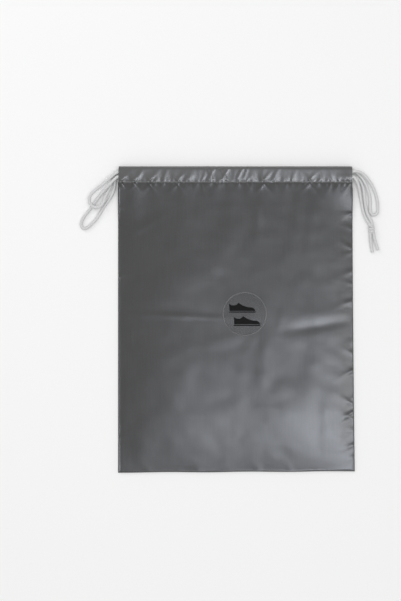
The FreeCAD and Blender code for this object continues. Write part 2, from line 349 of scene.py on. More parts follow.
def make_braid_group():
    """Two sets of strands that cross round a cord, with loose fibres and painted valley shade."""
    tree, given, result = shader_group(
        "cord braid", {"Strands": 8.0, "Pitch": 0.0034}, ["Height", "Tone"]
    )
    uv = add_node(tree, "ShaderNodeUVMap", uv_map="pattern").outputs[0]
    split = add_node(tree, "ShaderNodeSeparateXYZ", {0: uv})
    turn = maths(tree, "MULTIPLY", split.outputs[0], given.outputs["Strands"])
    rise = maths(tree, "DIVIDE", split.outputs[1], given.outputs["Pitch"])
    waves = []
    for side in ("ADD", "SUBTRACT"):
        phase = maths(tree, "MULTIPLY", maths(tree, side, turn, rise), 2 * math.pi)
        waves.append(maths(tree, "SINE", phase))
    crossing = maths(tree, "MAXIMUM", waves[0], waves[1])
    scaled = add_node(tree, "ShaderNodeMapping", {"Vector": uv, "Scale": (60.0, 2600.0, 1.0)})
    fibre = add_node(
        tree, "ShaderNodeTexNoise", {"Vector": scaled.outputs[0], "Scale": 1.0, "Detail": 2.0}
    ).outputs[0]
    height = maths(tree, "ADD", crossing, fibre)
    # Painted shade: darker in the valleys between strands, lighter on their crests. The fibre noise
    # is the cord's own mottle.
    painted_strand_shade = maths(tree, "MULTIPLY", crossing, 0.35)
    tone = maths(tree, "ADD", painted_strand_shade, maths(tree, "MULTIPLY", fibre, 0.6))
    tree.links.new(height, result.inputs["Height"])
    tree.links.new(tone, result.inputs["Tone"])
    return tree


def make_cord_material():
    """Pale grey braided polyester, with painted shade in the braid's valleys."""
    material, tree, shader = new_material("cord_braid")
    braid = place_group(tree, make_braid_group(), Strands=8.0, Pitch=0.0034)
    # The dark colour falls in the braid's valleys as painted shade, mixed with the fibres' mottle.
    colour = mix_colour(tree, braid.outputs["Tone"], (0.42, 0.42, 0.425, 1), (0.90, 0.90, 0.905, 1))
    tree.links.new(colour, shader.inputs["Base Color"])
    rough = maths(tree, "SUBTRACT", 0.78, maths(tree, "MULTIPLY", braid.outputs["Tone"], 0.14))
    tree.links.new(rough, shader.inputs["Roughness"])
    bump(tree, shader, braid.outputs["Height"], distance=0.00012, strength=0.5)
    set_sockets(shader, Specular_IOR_Level=0.35, Sheen_Weight=0.25, Sheen_Roughness=0.5)
    return material


def make_thread_material():
    """Dark sewing thread, a shade lighter than the cloth, twisted from plies."""
    material, tree, shader = new_material("sewing_thread")
    where = add_node(tree, "ShaderNodeTexCoord").outputs["Object"]
    turned = add_node(tree, "ShaderNodeMapping", {"Vector": where, "Rotation": (0.0, 0.0, 0.6)})
    plies = add_node(
        tree,
        "ShaderNodeTexWave",
        {"Vector": turned.outputs[0], "Scale": 900.0, "Distortion": 1.5, "Detail": 1.0},
    ).outputs["Fac"]
    colour = mix_colour(tree, plies, (0.15, 0.15, 0.155, 1), (0.34, 0.34, 0.35, 1))
    tree.links.new(colour, shader.inputs["Base Color"])
    rough = maths(tree, "ADD", maths(tree, "MULTIPLY", plies, -0.15), 0.55)
    tree.links.new(rough, shader.inputs["Roughness"])
    bump(tree, shader, plies, distance=0.00005, strength=0.4)
    return material


def radial_mask(tree, centre, radius):
    """Distance from a centre on the cloth, as a share of a radius."""
    where = add_node(tree, "ShaderNodeTexCoord").outputs["Object"]
    shifted = add_node(tree, "ShaderNodeMapping", {"Vector": where})
    shifted.inputs["Location"].default_value = (-centre[0], -centre[1], 0)
    split = add_node(tree, "ShaderNodeSeparateXYZ", {0: shifted.outputs[0]})
    square = maths(
        tree,
        "ADD",
        maths(tree, "POWER", maths(tree, "ABSOLUTE", split.outputs[0]), 2.0),
        maths(tree, "POWER", maths(tree, "ABSOLUTE", split.outputs[1]), 2.0),
    )
    return maths(tree, "DIVIDE", maths(tree, "SQRT", square), radius)


def make_film_material(centre, radius):
    """Clear film: nearly invisible, with a painted highlight on its rim and a fine dusty mottle."""
    material, tree, shader = new_material("clear_film_painted_rim_highlight")
    share = radial_mask(tree, centre, radius)
    # Painted highlight: a thin ring at the film's edge is lighter and less clear.
    rim = add_node(
        tree,
        "ShaderNodeMapRange",
        {"Value": share, "From Min": 0.955, "From Max": 0.975, "To Min": 0.0, "To Max": 1.0},
    ).outputs[0]
    where = add_node(tree, "ShaderNodeTexCoord").outputs["Object"]
    dust = add_node(
        tree, "ShaderNodeTexNoise", {"Vector": where, "Scale": 420.0, "Detail": 3.0}
    ).outputs[0]
    clear = maths(tree, "MULTIPLY", dust, 0.07)
    alpha = maths(tree, "ADD", clear, maths(tree, "MULTIPLY", rim, 0.45))
    # The lighter colour at the rim is the painted highlight.
    colour = mix_colour(tree, rim, (0.10, 0.10, 0.105, 1), (0.24, 0.24, 0.25, 1))
    tree.links.new(colour, shader.inputs["Base Color"])
    tree.links.new(alpha, shader.inputs["Alpha"])
    rough = maths(tree, "ADD", maths(tree, "MULTIPLY", dust, 0.12), 0.3)
    tree.links.new(rough, shader.inputs["Roughness"])
    set_sockets(shader, Specular_IOR_Level=0.5)
    return material


def make_ink_material():
    """Matt black ink with pinholes where the cloth's ribs show through."""
    material, tree, shader = new_material("printed_ink")
    where = add_node(tree, "ShaderNodeTexCoord").outputs["Object"]
    speck = add_node(
        tree, "ShaderNodeTexNoise", {"Vector": where, "Scale": 1500.0, "Detail": 2.0}
    ).outputs[0]
    colour = mix_colour(tree, speck, (0.004, 0.004, 0.004, 1), (0.014, 0.014, 0.015, 1))
    tree.links.new(colour, shader.inputs["Base Color"])
    rough = maths(tree, "ADD", maths(tree, "MULTIPLY", speck, 0.15), 0.75)
    tree.links.new(rough, shader.inputs["Roughness"])
    bump(tree, shader, speck, distance=0.00003, strength=0.3)
    set_sockets(shader, Specular_IOR_Level=0.1)
    return material


def make_floor_material():
    """A plain pale table."""
    material, tree, shader = new_material("pale_table")
    set_sockets(shader, Base_Color=(0.90, 0.90, 0.90, 1), Roughness=0.9, Specular_IOR_Level=0.1)
    return material


film_centre = (film_low + film_high) / 2
film_radius = (film_high.x - film_low.x) / 2
cord_finish = make_cord_material()
thread_finish = make_thread_material()
film_finish = make_film_material((film_centre.x, film_centre.y), film_radius)
ink_finish = make_ink_material()
floor.data.materials.append(make_floor_material())
print("cord, thread, film, ink and floor")

# %% [markdown]
# ## Cords
#
# The cords come first among the pieces. Each free stretch is one smooth NURBS curve through
# the open air: its control points are the route that the cord's solids follow. Blender turns
# the curve into a line of points, and a braided tube is skinned round that line, with the
# strands raised in the mesh itself. The bag has five free stretches: a teardrop loop and a
# long loop on the left, and on the right a loop and the two leads of the knotted cord.

# %% Routes of the free cords
# Each point is (outwards from the side edge, down from the mouth, lift above lying flat).
cord_radius = 0.002
cord_rise = 0.00005
bore_z = {"front": 0.00795, "back": 0.00255}
casing_inset = 0.001
slit_depth = 0.004
exit_gap = 0.0004
run_end = half_width - casing_inset - slit_depth
upper_level = 0.014
lower_level = 0.0084
upper_y = {"front": hem_y + upper_level, "back": rear_casing_low.y + upper_level}
lower_y = {"front": hem_y + lower_level, "back": rear_casing_low.y + lower_level}

pull_loop_route = [
    (-0.0004, 0.0076, 0.0059), (0.0046, 0.0102, 0.0056), (0.0124, 0.0170, 0.0051),
    (0.0214, 0.0254, 0.0048), (0.0324, 0.0332, 0.0047), (0.0378, 0.0424, 0.0047),
    (0.0338, 0.0512, 0.0047), (0.0254, 0.0538, 0.0047), (0.0186, 0.0480, 0.0047),
    (0.0166, 0.0404, 0.0039), (0.0136, 0.0340, 0.0018), (0.0106, 0.0282, 0.0002),
    (0.0086, 0.0220, 0.0), (0.0082, 0.0154, 0.0), (0.0056, 0.0092, 0.0002),
    (-0.0004, 0.0061, 0.0005),
]
slack_loop_route = [
    (-0.0004, 0.0133, 0.0059), (0.0036, 0.0162, 0.0056), (0.0087, 0.0213, 0.0051),
    (0.0136, 0.0266, 0.0045), (0.0194, 0.0328, 0.0024), (0.0248, 0.0396, 0.0004),
    (0.0306, 0.0480, 0.0), (0.0372, 0.0566, 0.0), (0.0442, 0.0652, 0.0),
    (0.0478, 0.0730, 0.0), (0.0462, 0.0788, 0.0), (0.0406, 0.0800, 0.0),
    (0.0332, 0.0734, 0.0), (0.0264, 0.0656, 0.0), (0.0214, 0.0570, 0.0),
    (0.0166, 0.0496, 0.0), (0.0110, 0.0424, 0.0), (0.0068, 0.0348, 0.0),
    (0.0046, 0.0274, 0.0), (0.0041, 0.0208, 0.0), (0.0030, 0.0150, 0.0001),
    (-0.0008, 0.0118, 0.0005),
]
return_loop_route = [
    (-0.0002, 0.0072, 0.0059), (0.0046, 0.0062, 0.0056), (0.0112, 0.0084, 0.0046),
    (0.0178, 0.0144, 0.0028), (0.0236, 0.0224, 0.0009), (0.0284, 0.0318, 0.0),
    (0.0314, 0.0426, 0.0), (0.0323, 0.0520, 0.0), (0.0321, 0.0594, 0.0),
    (0.0294, 0.0621, 0.0), (0.0256, 0.0621, 0.0), (0.0229, 0.0594, 0.0),
    (0.0225, 0.0522, 0.0), (0.0228, 0.0430, 0.0), (0.0209, 0.0338, 0.0),
    (0.0177, 0.0244, 0.0), (0.0138, 0.0170, 0.0), (0.0092, 0.0114, 0.0),
    (0.0044, 0.0076, 0.0003), (-0.0004, 0.0061, 0.0005),
]
front_lead_route = [
    (-0.0004, 0.0133, 0.0059), (0.0036, 0.0164, 0.0054), (0.0068, 0.0226, 0.0042),
    (0.0086, 0.0300, 0.0020), (0.0100, 0.0380, 0.0003), (0.0113, 0.0464, 0.0),
    (0.0127, 0.0546, 0.0), (0.0151, 0.0628, 0.0006), (0.0182, 0.0692, 0.0019),
    (0.0208, 0.0732, 0.0024), (0.0226, 0.0764, 0.0024),
]
back_lead_route = [
    (-0.0004, 0.0117, 0.0005), (0.0042, 0.0136, 0.0002), (0.0094, 0.0184, 0.0),
    (0.0130, 0.0256, 0.0), (0.0148, 0.0338, 0.0), (0.0156, 0.0424, 0.0),
    (0.0166, 0.0508, 0.0), (0.0182, 0.0592, 0.0004), (0.0219, 0.0670, 0.0017),
    (0.0252, 0.0725, 0.0024), (0.0252, 0.0762, 0.0024),
]
inner_tail_route = [
    (0.0232, 0.0836, 0.0024), (0.0224, 0.0870, 0.0022), (0.0229, 0.0942, 0.0003),
    (0.0239, 0.1022, 0.0), (0.0254, 0.1100, 0.0),
]
outer_tail_route = [
    (0.0256, 0.0836, 0.0024), (0.0268, 0.0866, 0.0022), (0.0283, 0.0934, 0.0003),
    (0.0304, 0.1006, 0.0), (0.0326, 0.1074, 0.0),
]


def place_route(side, route, starts=(), ends=()):
    """Turns a route's offsets into points, with the exits at its two ends."""
    offsets = [
        (side * (half_width + out), mouth_y - down, cord_radius + cord_rise + lift)
        for out, down, lift in route
    ]
    return list(starts) + offsets + list(ends)


def smooth_line(points, resolution=20):
    """The line of a NURBS curve with these control points, as an array of points."""
    curve = bpy.data.curves.new("route", "CURVE")
    curve.dimensions = "3D"
    spline = curve.splines.new("NURBS")
    spline.points.add(len(points) - 1)
    for control, point in zip(spline.points, points):
        control.co = (*point, 1.0)
    spline.order_u = 3
    spline.use_endpoint_u = True
    spline.resolution_u = resolution
    holder = bpy.data.objects.new("route", curve)
    bpy.context.scene.collection.objects.link(holder)
    graph = bpy.context.evaluated_depsgraph_get()
    mesh = bpy.data.meshes.new_from_object(holder.evaluated_get(graph))
    line = np.array([vertex.co for vertex in mesh.vertices], float)
    bpy.data.objects.remove(holder)
    bpy.data.meshes.remove(mesh)
    return line


# %% [markdown]
# A tube needs a ring of points at each step along its line. If each ring is turned only as
# much as the line itself turns, the braid runs straight and doesn't wind up at the bends.
# Each ring's radius rises where a strand crosses, and a cord may be pressed flatter where
# cloth lies on it.

# %% Braided tube
braid_strands = 8
braid_pitch = 0.0034
braid_relief = 0.07
cut_share = 0.02
pressed_spread = 0.55


def carry_frames(line):
    """Tangents of a line, with two cross directions carried along it without twist."""
    ahead = np.gradient(line, axis=0)
    ahead /= np.linalg.norm(ahead, axis=1, keepdims=True)
    side = np.cross(ahead[0], (0.0, 0.0, 1.0))
    side /= np.linalg.norm(side)
    sides = []
    for direction in ahead:
        side = side - direction * (side @ direction)
        side /= np.linalg.norm(side)
        sides.append(side)
    sides = np.array(sides)
    return ahead, sides, np.cross(sides, ahead)


def braided_tube(name, line, radius, around=40, flatten=0.0, ends=(1.0, 1.0)):
    """A closed tube round a line, with braid relief, and its ring centres."""
    steps = np.linalg.norm(np.diff(line, axis=0), axis=1)
    along = np.concatenate([[0.0], np.cumsum(steps)])
    ahead, sides, ups = carry_frames(line)
    angle = np.linspace(0.0, 2 * math.pi, around, endpoint=False)
    turn = angle / (2 * math.pi) * braid_strands
    rise = along[:, None] / braid_pitch
    waves = [np.sin(2 * math.pi * (turn[None, :] + way * rise)) for way in (1, -1)]
    relief = 1.0 - braid_relief + braid_relief * np.maximum(*waves)
    share = along / along[-1]
    taper = np.interp(share, (0.0, cut_share, 1 - cut_share, 1.0), (ends[0], 1.0, 1.0, ends[1]))
    press = flatten * np.sin(math.pi * share).clip(0, 1) ** 0.25
    reach = radius * relief * taper[:, None]
    wide = reach * np.cos(angle)[None, :] * (1 + pressed_spread * press[:, None])
    tall = reach * np.sin(angle)[None, :] * (1 - press[:, None])
    rings = line[:, None, :] + wide[..., None] * sides[:, None, :]
    rings = rings + tall[..., None] * ups[:, None, :]
    count = len(line)
    points = [tuple(point) for point in rings.reshape(-1, 3)]
    points += [tuple(line[0]), tuple(line[-1])]
    faces = []
    corners = []
    for ring in range(count - 1):
        for step in range(around):
            after = (step + 1) % around
            low = ring * around
            high = low + around
            faces.append((low + step, low + after, high + after, high + step))
            left, right = step / around, (step + 1) / around
            here, there = along[ring], along[ring + 1]
            corners += [(left, here), (right, here), (right, there), (left, there)]
    first, last = len(points) - 2, len(points) - 1
    for step in range(around):
        after = (step + 1) % around
        faces.append((first, after, step))
        left, right = step / around, (step + 1) / around
        corners += [(0.5, along[0]), (right, along[0]), (left, along[0])]
        base = (count - 1) * around
        faces.append((last, base + step, base + after))
        corners += [(0.5, along[-1]), (left, along[-1]), (right, along[-1])]
    piece = plain_mesh(name, points, faces)
    layer = piece.data.uv_layers.new(name="pattern")
    layer.data.foreach_set("uv", np.array(corners, np.float32).ravel())
    piece.data.polygons.foreach_set("use_smooth", [True] * len(faces))
    piece.data.materials.append(cord_finish)
    return piece


def tube_length(line):
    """The length of a line of points."""
    return float(np.linalg.norm(np.diff(line, axis=0), axis=1).sum())


# %% Free loops and leads


def add_free_cord(name, points, nodes):
    """A free stretch of cord: its tube, the solids it replaces hidden, and its length printed."""
    line = smooth_line(points)
    tube = braided_tube(name, line, cord_radius)
    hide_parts(*nodes)
    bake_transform(tube)
    print(f"{name}: {1000 * tube_length(line):.0f} mm of cord, {len(tube.data.polygons)} faces")
    return tube


def loop_nodes(stem):
    """The three solids of a loop."""
    return [f"{stem}_{part}" for part in ("front_strand", "bight", "back_strand")]


# Each loop: joint, body, side, level of its strands, route, sense of its slide, and how far out
# along the slide the loop's end moves in full.
loops = [
    ("left_cord_pull", "left_pull", -1, upper_y, pull_loop_route, 1, 0.040),
    ("right_cord_slack", "right_slack", -1, lower_y, slack_loop_route, -1, 0.071),
    ("left_cord_slack", "left_slack", 1, upper_y, return_loop_route, -1, 0.060),
]
for stem, body, side, heights, route, sense, far in loops:
    first, last = (
        [(side * (run_end + exit_gap), heights[face], bore_z[face])] for face in ("front", "back")
    )
    points = place_route(side, route, first, last)
    add_free_cord(
        f"{stem}_loop",
        points,
        loop_nodes(stem),
    )

# %% [markdown]
# ## The knot and its tails
#
# Both ends of the right cord are tied into one small overhand knot, so that they can't slip
# back into the casings. A knot is cord wound round cord, and it is modelled that way: a strand
# winds round the two leads and tucks under itself at both ends. The two tails stick out below
# it, and each is cut square and slightly frayed.

# %% Knot and tails
knot_low, knot_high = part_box("right_cord_knot")
knot_centre = (knot_low + knot_high) / 2
knot_axis = Vector((0.1, -1.0, 0.0)).normalized()


def wound_strand(name, centre, axis, length, reach, height, strand, turns, lean):
    """A strand wound round an axis, tucked in at both ends, inside an oval section."""
    count = 150
    share = np.linspace(0.0, 1.0, count)
    angle = 2 * math.pi * turns * share + lean
    tuck = np.clip(np.minimum(share, 1 - share) / 0.13, 0.0, 1.0) ** 0.6
    out = np.array((axis.y, -axis.x, 0.0))
    along = np.array(axis)
    up = np.array((0.0, 0.0, 1.0))
    wide = (reach - strand) * tuck * np.cos(angle)
    tall = (height - strand) * tuck * np.sin(angle)
    sway = (share - 0.5) * (length - 2 * strand) + 0.0007 * np.sin(angle + 0.8)
    line = np.array(centre)[None, :] + sway[:, None] * along
    line = line + wide[:, None] * out + tall[:, None] * up
    return braided_tube(name, line, strand, around=28, ends=(0.3, 0.3))


def join_pieces(name, pieces):
    """Joins several mesh pieces into the first one."""
    with bpy.context.temp_override(
        active_object=pieces[0], selected_editable_objects=pieces, selected_objects=pieces
    ):
        bpy.ops.object.join()
    pieces[0].name = name
    return pieces[0]


knot_wrap = wound_strand(
    "knot_wrap", knot_centre, knot_axis,
    length=0.0122, reach=0.0044, height=0.0043, strand=0.00178, turns=2.6, lean=0.6,
)
bar_axis = (knot_axis + Vector((0.45, 0, 0))).normalized()
knot_bar = wound_strand(
    "knot_bar", knot_centre, bar_axis,
    length=0.0112, reach=0.0040, height=0.0043, strand=0.0016, turns=0.9, lean=2.2,
)
knot = join_pieces("right_cord_knot_wound", [knot_wrap, knot_bar])
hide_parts("right_cord_knot")
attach(knot, "right_pull")

tails = []
for label, route in (("inner", inner_tail_route), ("outer", outer_tail_route)):
    line = smooth_line(place_route(1, route))
    tail = braided_tube(f"right_cord_{label}_tail_braid", line, cord_radius, ends=(0.8, 1.0))
    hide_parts(f"right_cord_{label}_tail")
    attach(tail, "right_pull")
    tails.append(tail)
    print(f"{label} tail: {1000 * tube_length(line):.0f} mm")

lead_facts = [
    ("right_cord_front_lead", "front", front_lead_route, [knot, *tails]),
    ("right_cord_back_lead", "back", back_lead_route, []),
]
for name, face, route, pieces in lead_facts:
    start = (run_end + exit_gap, lower_y[face], bore_z[face])
    add_free_cord(
        f"{name}_braid",
        place_route(1, route, [start]),
        [name],
    )

# %% [markdown]
# ## How the front cloth lies
#
# The front is one sheet of cloth: a panel that lies over the space inside, a line of stitches,
# and the casing above it. Everything on the front has to follow the same folds, so one function
# says where a point of the flat pattern lies in space. It adds up, from large to small: the low
# pillow of the empty bag, the drape that a cloth simulation finds, the creases left by folding
# the bag for its packet, and the small puckers that sewing pulls into thin cloth.

# %% Drape of the front panel by cloth simulation
drape_columns = 51
drape_rows = 63
rim_z = 0.0020
slack_share = 0.010
slack_reach = 0.06
plain_slack = 0.0006
side_stretch, plain_stretch = 0.0025, 0.0004
seed_height, hem_seed_height = 0.0003, 0.0006
drape_cap = 0.0030
drape_frames = 36
ironing_passes = 4
shoulder_ramp = 0.054
left_rise, right_rise, foot_rise = 0.090, 0.052, 0.085
crown_dip, crown_ramp = 0.0003, 0.05


def ease(value):
    """A smooth step from 0 to 1."""
    value = np.clip(value, 0.0, 1.0)
    return value * value * (3 - 2 * value)


def rise(distance, width):
    """How far the pillow has risen at some distance from an edge."""
    return 1 - (1 - np.clip(distance / width, 0.0, 1.0)) ** 2


def pillow(x, y):
    """Height of the front panel over the empty bag, without folds."""
    rim = rim_z + (top_z - rim_z) * ease((y - hem_y + shoulder_ramp) / shoulder_ramp)
    left = rise(x + half_width, left_rise)
    right = rise(half_width - x, right_rise)
    low = rise(y - bottom_y, foot_rise)
    crown = top_z - crown_dip * (1 - ease((y - hem_y + crown_ramp) / crown_ramp))
    return rim + (crown - rim) * left * right * low


def simulate_drape():
    """Lets a sheet with a little spare width settle between its pinned edges."""
    xs = np.linspace(-half_width, half_width, drape_columns)
    ys = np.linspace(bottom_y, hem_y, drape_rows)
    grid_x, grid_y = np.meshgrid(xs, ys)
    draw = np.random.default_rng(7)
    height = pillow(grid_x, grid_y)
    seed_bumps = seed_height * draw.standard_normal(grid_x.shape)
    pins = np.zeros(grid_x.shape, bool)
    pins[0, :] = pins[-1, :] = pins[:, 0] = pins[:, -1] = True
    start = height + np.where(pins, 0.0, seed_bumps)
    start[-1, 1:-1] += hem_seed_height * draw.standard_normal(drape_columns - 2)
    points = np.stack([grid_x, grid_y, start], -1).reshape(-1, 3)
    faces = [
        (corner, corner + 1, corner + drape_columns + 1, corner + drape_columns)
        for row in range(drape_rows - 1)
        for corner in range(row * drape_columns, (row + 1) * drape_columns - 1)
    ]
    sheet = plain_mesh("drape", [tuple(point) for point in points], faces)
    group = sheet.vertex_groups.new(name="pins")
    group.add([int(index) for index in np.flatnonzero(pins.ravel())], 1.0, "REPLACE")
    sheet.shape_key_add(name="Basis")
    cut = sheet.shape_key_add(name="cut")
    widen = slack_share * np.exp(-(hem_y - grid_y) / slack_reach) + plain_slack
    lengthen = side_stretch * ease((np.abs(grid_x) - 0.10) / 0.05) + plain_stretch
    wide = np.stack([grid_x * (1 + widen), grid_y * (1 + lengthen), height], -1).reshape(-1, 3)
    cut.data.foreach_set("co", wide.astype(np.float32).ravel())
    cloth = sheet.modifiers.new("cloth", "CLOTH")
    settings = cloth.settings
    settings.quality = 6
    settings.mass = 0.12
    settings.tension_stiffness = settings.compression_stiffness = 18
    settings.shear_stiffness = 8
    settings.bending_stiffness = 12.0
    settings.air_damping = 2.0
    settings.vertex_group_mass = "pins"
    settings.rest_shape_key = cut
    settings.effector_weights.gravity = 0.0
    cloth.collision_settings.use_collision = False
    scene = bpy.context.scene
    scene.frame_start, scene.frame_end = 1, drape_frames
    cloth.point_cache.frame_end = drape_frames
    for step in range(1, drape_frames + 1):
        scene.frame_set(step)
    graph = bpy.context.evaluated_depsgraph_get()
    settled = sheet.evaluated_get(graph).to_mesh()
    moved = np.array([vertex.co for vertex in settled.vertices], float)
    drift = moved - np.stack([grid_x, grid_y, height], -1).reshape(-1, 3)
    drift = drift.reshape(drape_rows, drape_columns, 3)
    bpy.data.objects.remove(sheet)
    for _ in range(ironing_passes):
        padded = np.pad(drift, ((1, 1), (1, 1), (0, 0)), "edge")
        beside = padded[1:-1, :-2] + padded[1:-1, 2:] + padded[:-2, 1:-1] + padded[2:, 1:-1]
        drift = np.where(pins[..., None], 0.0, 0.5 * drift + 0.125 * beside)
    return drape_cap * np.tanh(drift / drape_cap)


drape = simulate_drape()
print(f"drape moves the cloth by up to {1000 * np.abs(drape[..., 2]).max():.2f} mm in height")

# %% Sampling the drape, and the folds laid over it


def sample_drape(x, y):
    """The drape's movement at points of the pattern, smooth between its coarse points."""
    column = np.clip((x + half_width) / (2 * half_width), 0, 1) * (drape_columns - 1)
    row = np.clip((y - bottom_y) / (hem_y - bottom_y), 0, 1) * (drape_rows - 1)
    column_base = np.clip(np.floor(column).astype(int), 0, drape_columns - 2)
    row_base = np.clip(np.floor(row).astype(int), 0, drape_rows - 2)

    def weights(t):
        return (
            ((2 - t) * t - 1) * t / 2,
            (t * t * (3 * t - 5) + 2) / 2,
            ((4 - 3 * t) * t + 1) * t / 2,
            (t - 1) * t * t / 2,
        )

    across = weights(column - column_base)
    upward = weights(row - row_base)
    total = np.zeros(np.shape(x) + (3,))
    for i in range(4):
        for j in range(4):
            rows = np.clip(row_base + i - 1, 0, drape_rows - 1)
            columns = np.clip(column_base + j - 1, 0, drape_columns - 1)
            total += (upward[i] * across[j])[..., None] * drape[rows, columns]
    return total


# Creases and soft folds of the panel, in millimetres: centre x and y, half width across the
# fold, half length along it, angle of the fold from X in degrees, and height (a valley is less
# than zero).
folds = [
    (-95, 5, 3.2, 75, -2, 0.55),
    (-95, 14, 9, 60, -2, -0.35),
    (106, -8, 6.5, 42, 10, -0.7),
    (100, 6, 11, 45, 4, 0.5),
    (56, -6, 6, 15, 82, 0.3),
    (38, -48, 11, 38, 84, 0.7),
    (86, -48, 15, 34, 80, -0.8),
    (70, -118, 36, 46, 75, 1.3),
    (104, -122, 9, 50, 88, -1.0),
    (132, -100, 8, 70, 90, 0.45),
    (-118, 118, 5, 30, 28, 0.45),
    (-60, 60, 26, 60, 38, 0.8),
    (30, 138, 7, 26, 88, 0.8),
    (80, 142, 7, 20, 92, 0.6),
    (-24, 120, 14, 40, 80, -0.5),
    (96, 118, 7, 36, 84, 0.35),
    (8, 60, 30, 60, 60, -0.7),
    (-96, -70, 30, 60, 30, 0.7),
    (-20, -150, 24, 40, 20, -0.6),
    (-118, -160, 14, 30, 60, 0.5),
]


def folded(x, y):
    """Height of the larger folds at points of the pattern."""
    total = np.zeros(np.shape(x))
    for centre_x, centre_y, width, length, angle, height in folds:
        turn = math.radians(angle)
        dx = 1000 * x - centre_x
        dy = 1000 * y - centre_y
        along = dx * math.cos(turn) + dy * math.sin(turn)
        across = -dx * math.sin(turn) + dy * math.cos(turn)
        total += 0.001 * height * np.exp(-((across / width) ** 2) - (along / length) ** 2)
    return total


def draw_puckers(seed, start, stop, gaps, heights, reaches, widths):
    """Places of puckers along a seam, each with a height, reach, width and lean."""
    draw = random.Random(seed)
    place = start + draw.uniform(0, gaps[1])
    made = []
    while place < stop:
        made.append(
            (
                place,
                draw.uniform(*heights),
                draw.uniform(*reaches),
                draw.uniform(*widths),
                draw.uniform(-0.55, 0.55),
            )
        )
        place += draw.uniform(*gaps)
    return made


hem_puckers = draw_puckers(
    3, -0.150, 0.150,
    gaps=(0.0045, 0.0115), heights=(0.0005, 0.0015),
    reaches=(0.0035, 0.0095), widths=(0.0011, 0.0024),
)
hem_folds = draw_puckers(
    11, -0.145, 0.145,
    gaps=(0.016, 0.034), heights=(0.0003, 0.0008),
    reaches=(0.030, 0.062), widths=(0.0045, 0.008),
)
side_puckers = {
    -1: draw_puckers(
        5, -0.19, 0.16,
        gaps=(0.022, 0.06), heights=(0.0002, 0.0006),
        reaches=(0.007, 0.016), widths=(0.0012, 0.0026),
    ),
    1: draw_puckers(
        8, -0.19, 0.16,
        gaps=(0.026, 0.06), heights=(0.0003, 0.0007),
        reaches=(0.008, 0.016), widths=(0.0014, 0.003),
    ),
}
# Strong puckers where the side seams' thread has been pulled tight.
side_puckers[-1] += [(0.124, 0.0010, 0.020, 0.0016, -0.35), (0.054, 0.0006, 0.012, 0.0015, 0.2)]
side_puckers[1] += [
    (0.136, 0.0005, 0.013, 0.0015, -0.5),
    (0.1154, 0.0004, 0.010, 0.0015, 0.4),
    (0.086, 0.0004, 0.010, 0.0016, -0.3),
    (0.045, 0.0004, 0.011, 0.0014, 0.3),
    (0.0247, 0.0007, 0.014, 0.0016, -0.4),
    (-0.044, 0.0007, 0.010, 0.0018, 0.4),
    (-0.0648, 0.0010, 0.013, 0.0017, -0.5),
    (-0.110, 0.0010, 0.013, 0.0018, 0.6),
    (-0.118, 0.0011, 0.013, 0.0016, -0.6),
    (-0.1287, 0.0009, 0.012, 0.0016, 0.5),
    (-0.1606, 0.0009, 0.012, 0.0016, -0.4),
]
foot_puckers = draw_puckers(
    6, -0.145, 0.145,
    gaps=(0.020, 0.045), heights=(0.0001, 0.0004),
    reaches=(0.006, 0.014), widths=(0.0025, 0.006),
)


def puckered(place, distance, puckers, fan=1.4):
    """Ridges that start at a seam, fan out, lean over and fade with distance from it."""
    total = np.zeros(np.broadcast_shapes(np.shape(place), np.shape(distance)))
    for centre, height, reach, width, lean in puckers:
        spread = width * (1 + fan * distance / reach)
        offset = (place - centre - lean * distance) / spread
        total += height * np.exp(-(offset**2) - (distance / reach) ** 1.3)
    return total


stitch_offset = 0.001


def stitch_dip(away):
    """How far the stitches pull the cloth down at some distance from their line."""
    return -0.00025 * np.exp(-((away / 0.0011) ** 2))


# How far from a seam the folds and puckers are at their full height, and the edge's own roll.
fold_fade = 0.012
side_fade, hem_fade, foot_fade = 0.002, 0.02, 0.003
roll_height, roll_place, roll_width = 0.00035, 0.0014, 0.0008
edge_z, edge_turn = 0.00048, 0.00045
corner_start, corner_turn = 0.010, 0.006


def lay_front(x, y):
    """Where points of the front panel's flat pattern lie in space."""
    x = np.asarray(x, float)
    y = np.asarray(y, float)
    height = pillow(x, y) + folded(x, y) * ease((half_width - np.abs(x)) / fold_fade)
    away = np.maximum(hem_y + stitch_offset - y, 0.0)
    gathered = puckered(x, away, hem_puckers) + stitch_dip(away)
    height += gathered + puckered(x, away, hem_folds, 1.0)
    for side, puckers in side_puckers.items():
        edge = half_width - side * x
        fade = ease(edge / side_fade) * ease((hem_y - y) / hem_fade)
        height += puckered(y, edge, puckers) * fade
    height += puckered(x, y - bottom_y, foot_puckers) * ease((y - bottom_y) / foot_fade)
    nearest = np.minimum(half_width - np.abs(x), y - bottom_y)
    roll = roll_height * np.exp(-(((nearest - roll_place) / roll_width) ** 2))
    turn_in = (rim_z - edge_z) * np.exp(-nearest / edge_turn)
    sewn = 1 - ease((y - (hem_y - corner_start)) / corner_turn)
    height += (roll - turn_in) * sewn
    moved = sample_drape(x, y)
    return settle(np.stack([x + moved[..., 0], y + moved[..., 1], height + moved[..., 2]], -1))


right_drift, foot_lift, foot_wave = 0.0030, 0.0016, 0.0003


def settle(points):
    """The cloth's small departure from a true rectangle, the same for every layer."""
    x, y = points[..., 0].copy(), points[..., 1].copy()
    down = np.clip((hem_y - y) / (hem_y - bottom_y), 0, 1)
    to_right = np.clip(x / half_width, 0, 1)
    points[..., 0] = x + right_drift * to_right**2 * down**1.5
    lift = foot_lift * (x / half_width + 1) / 2 * down**6
    wave = foot_wave * np.sin(61 * x + 0.6) * down**8
    points[..., 1] = y + lift + wave
    return points


print(len(folds), "folds,", len(hem_puckers), "puckers along the casing")

# %% [markdown]
# ## Cloth shells
#
# Cloth has two faces and an edge, so each sheet becomes a thin closed shell: a grid of points
# on its outer face, the same grid a thread's width further in, and a wall round the rim. The
# front is cut in two at the middle. The normals are worked out on the whole sheet before it
# is cut, and the two halves keep them, so no join shows.

# %% Cloth shells
sheet_thickness = 0.0003


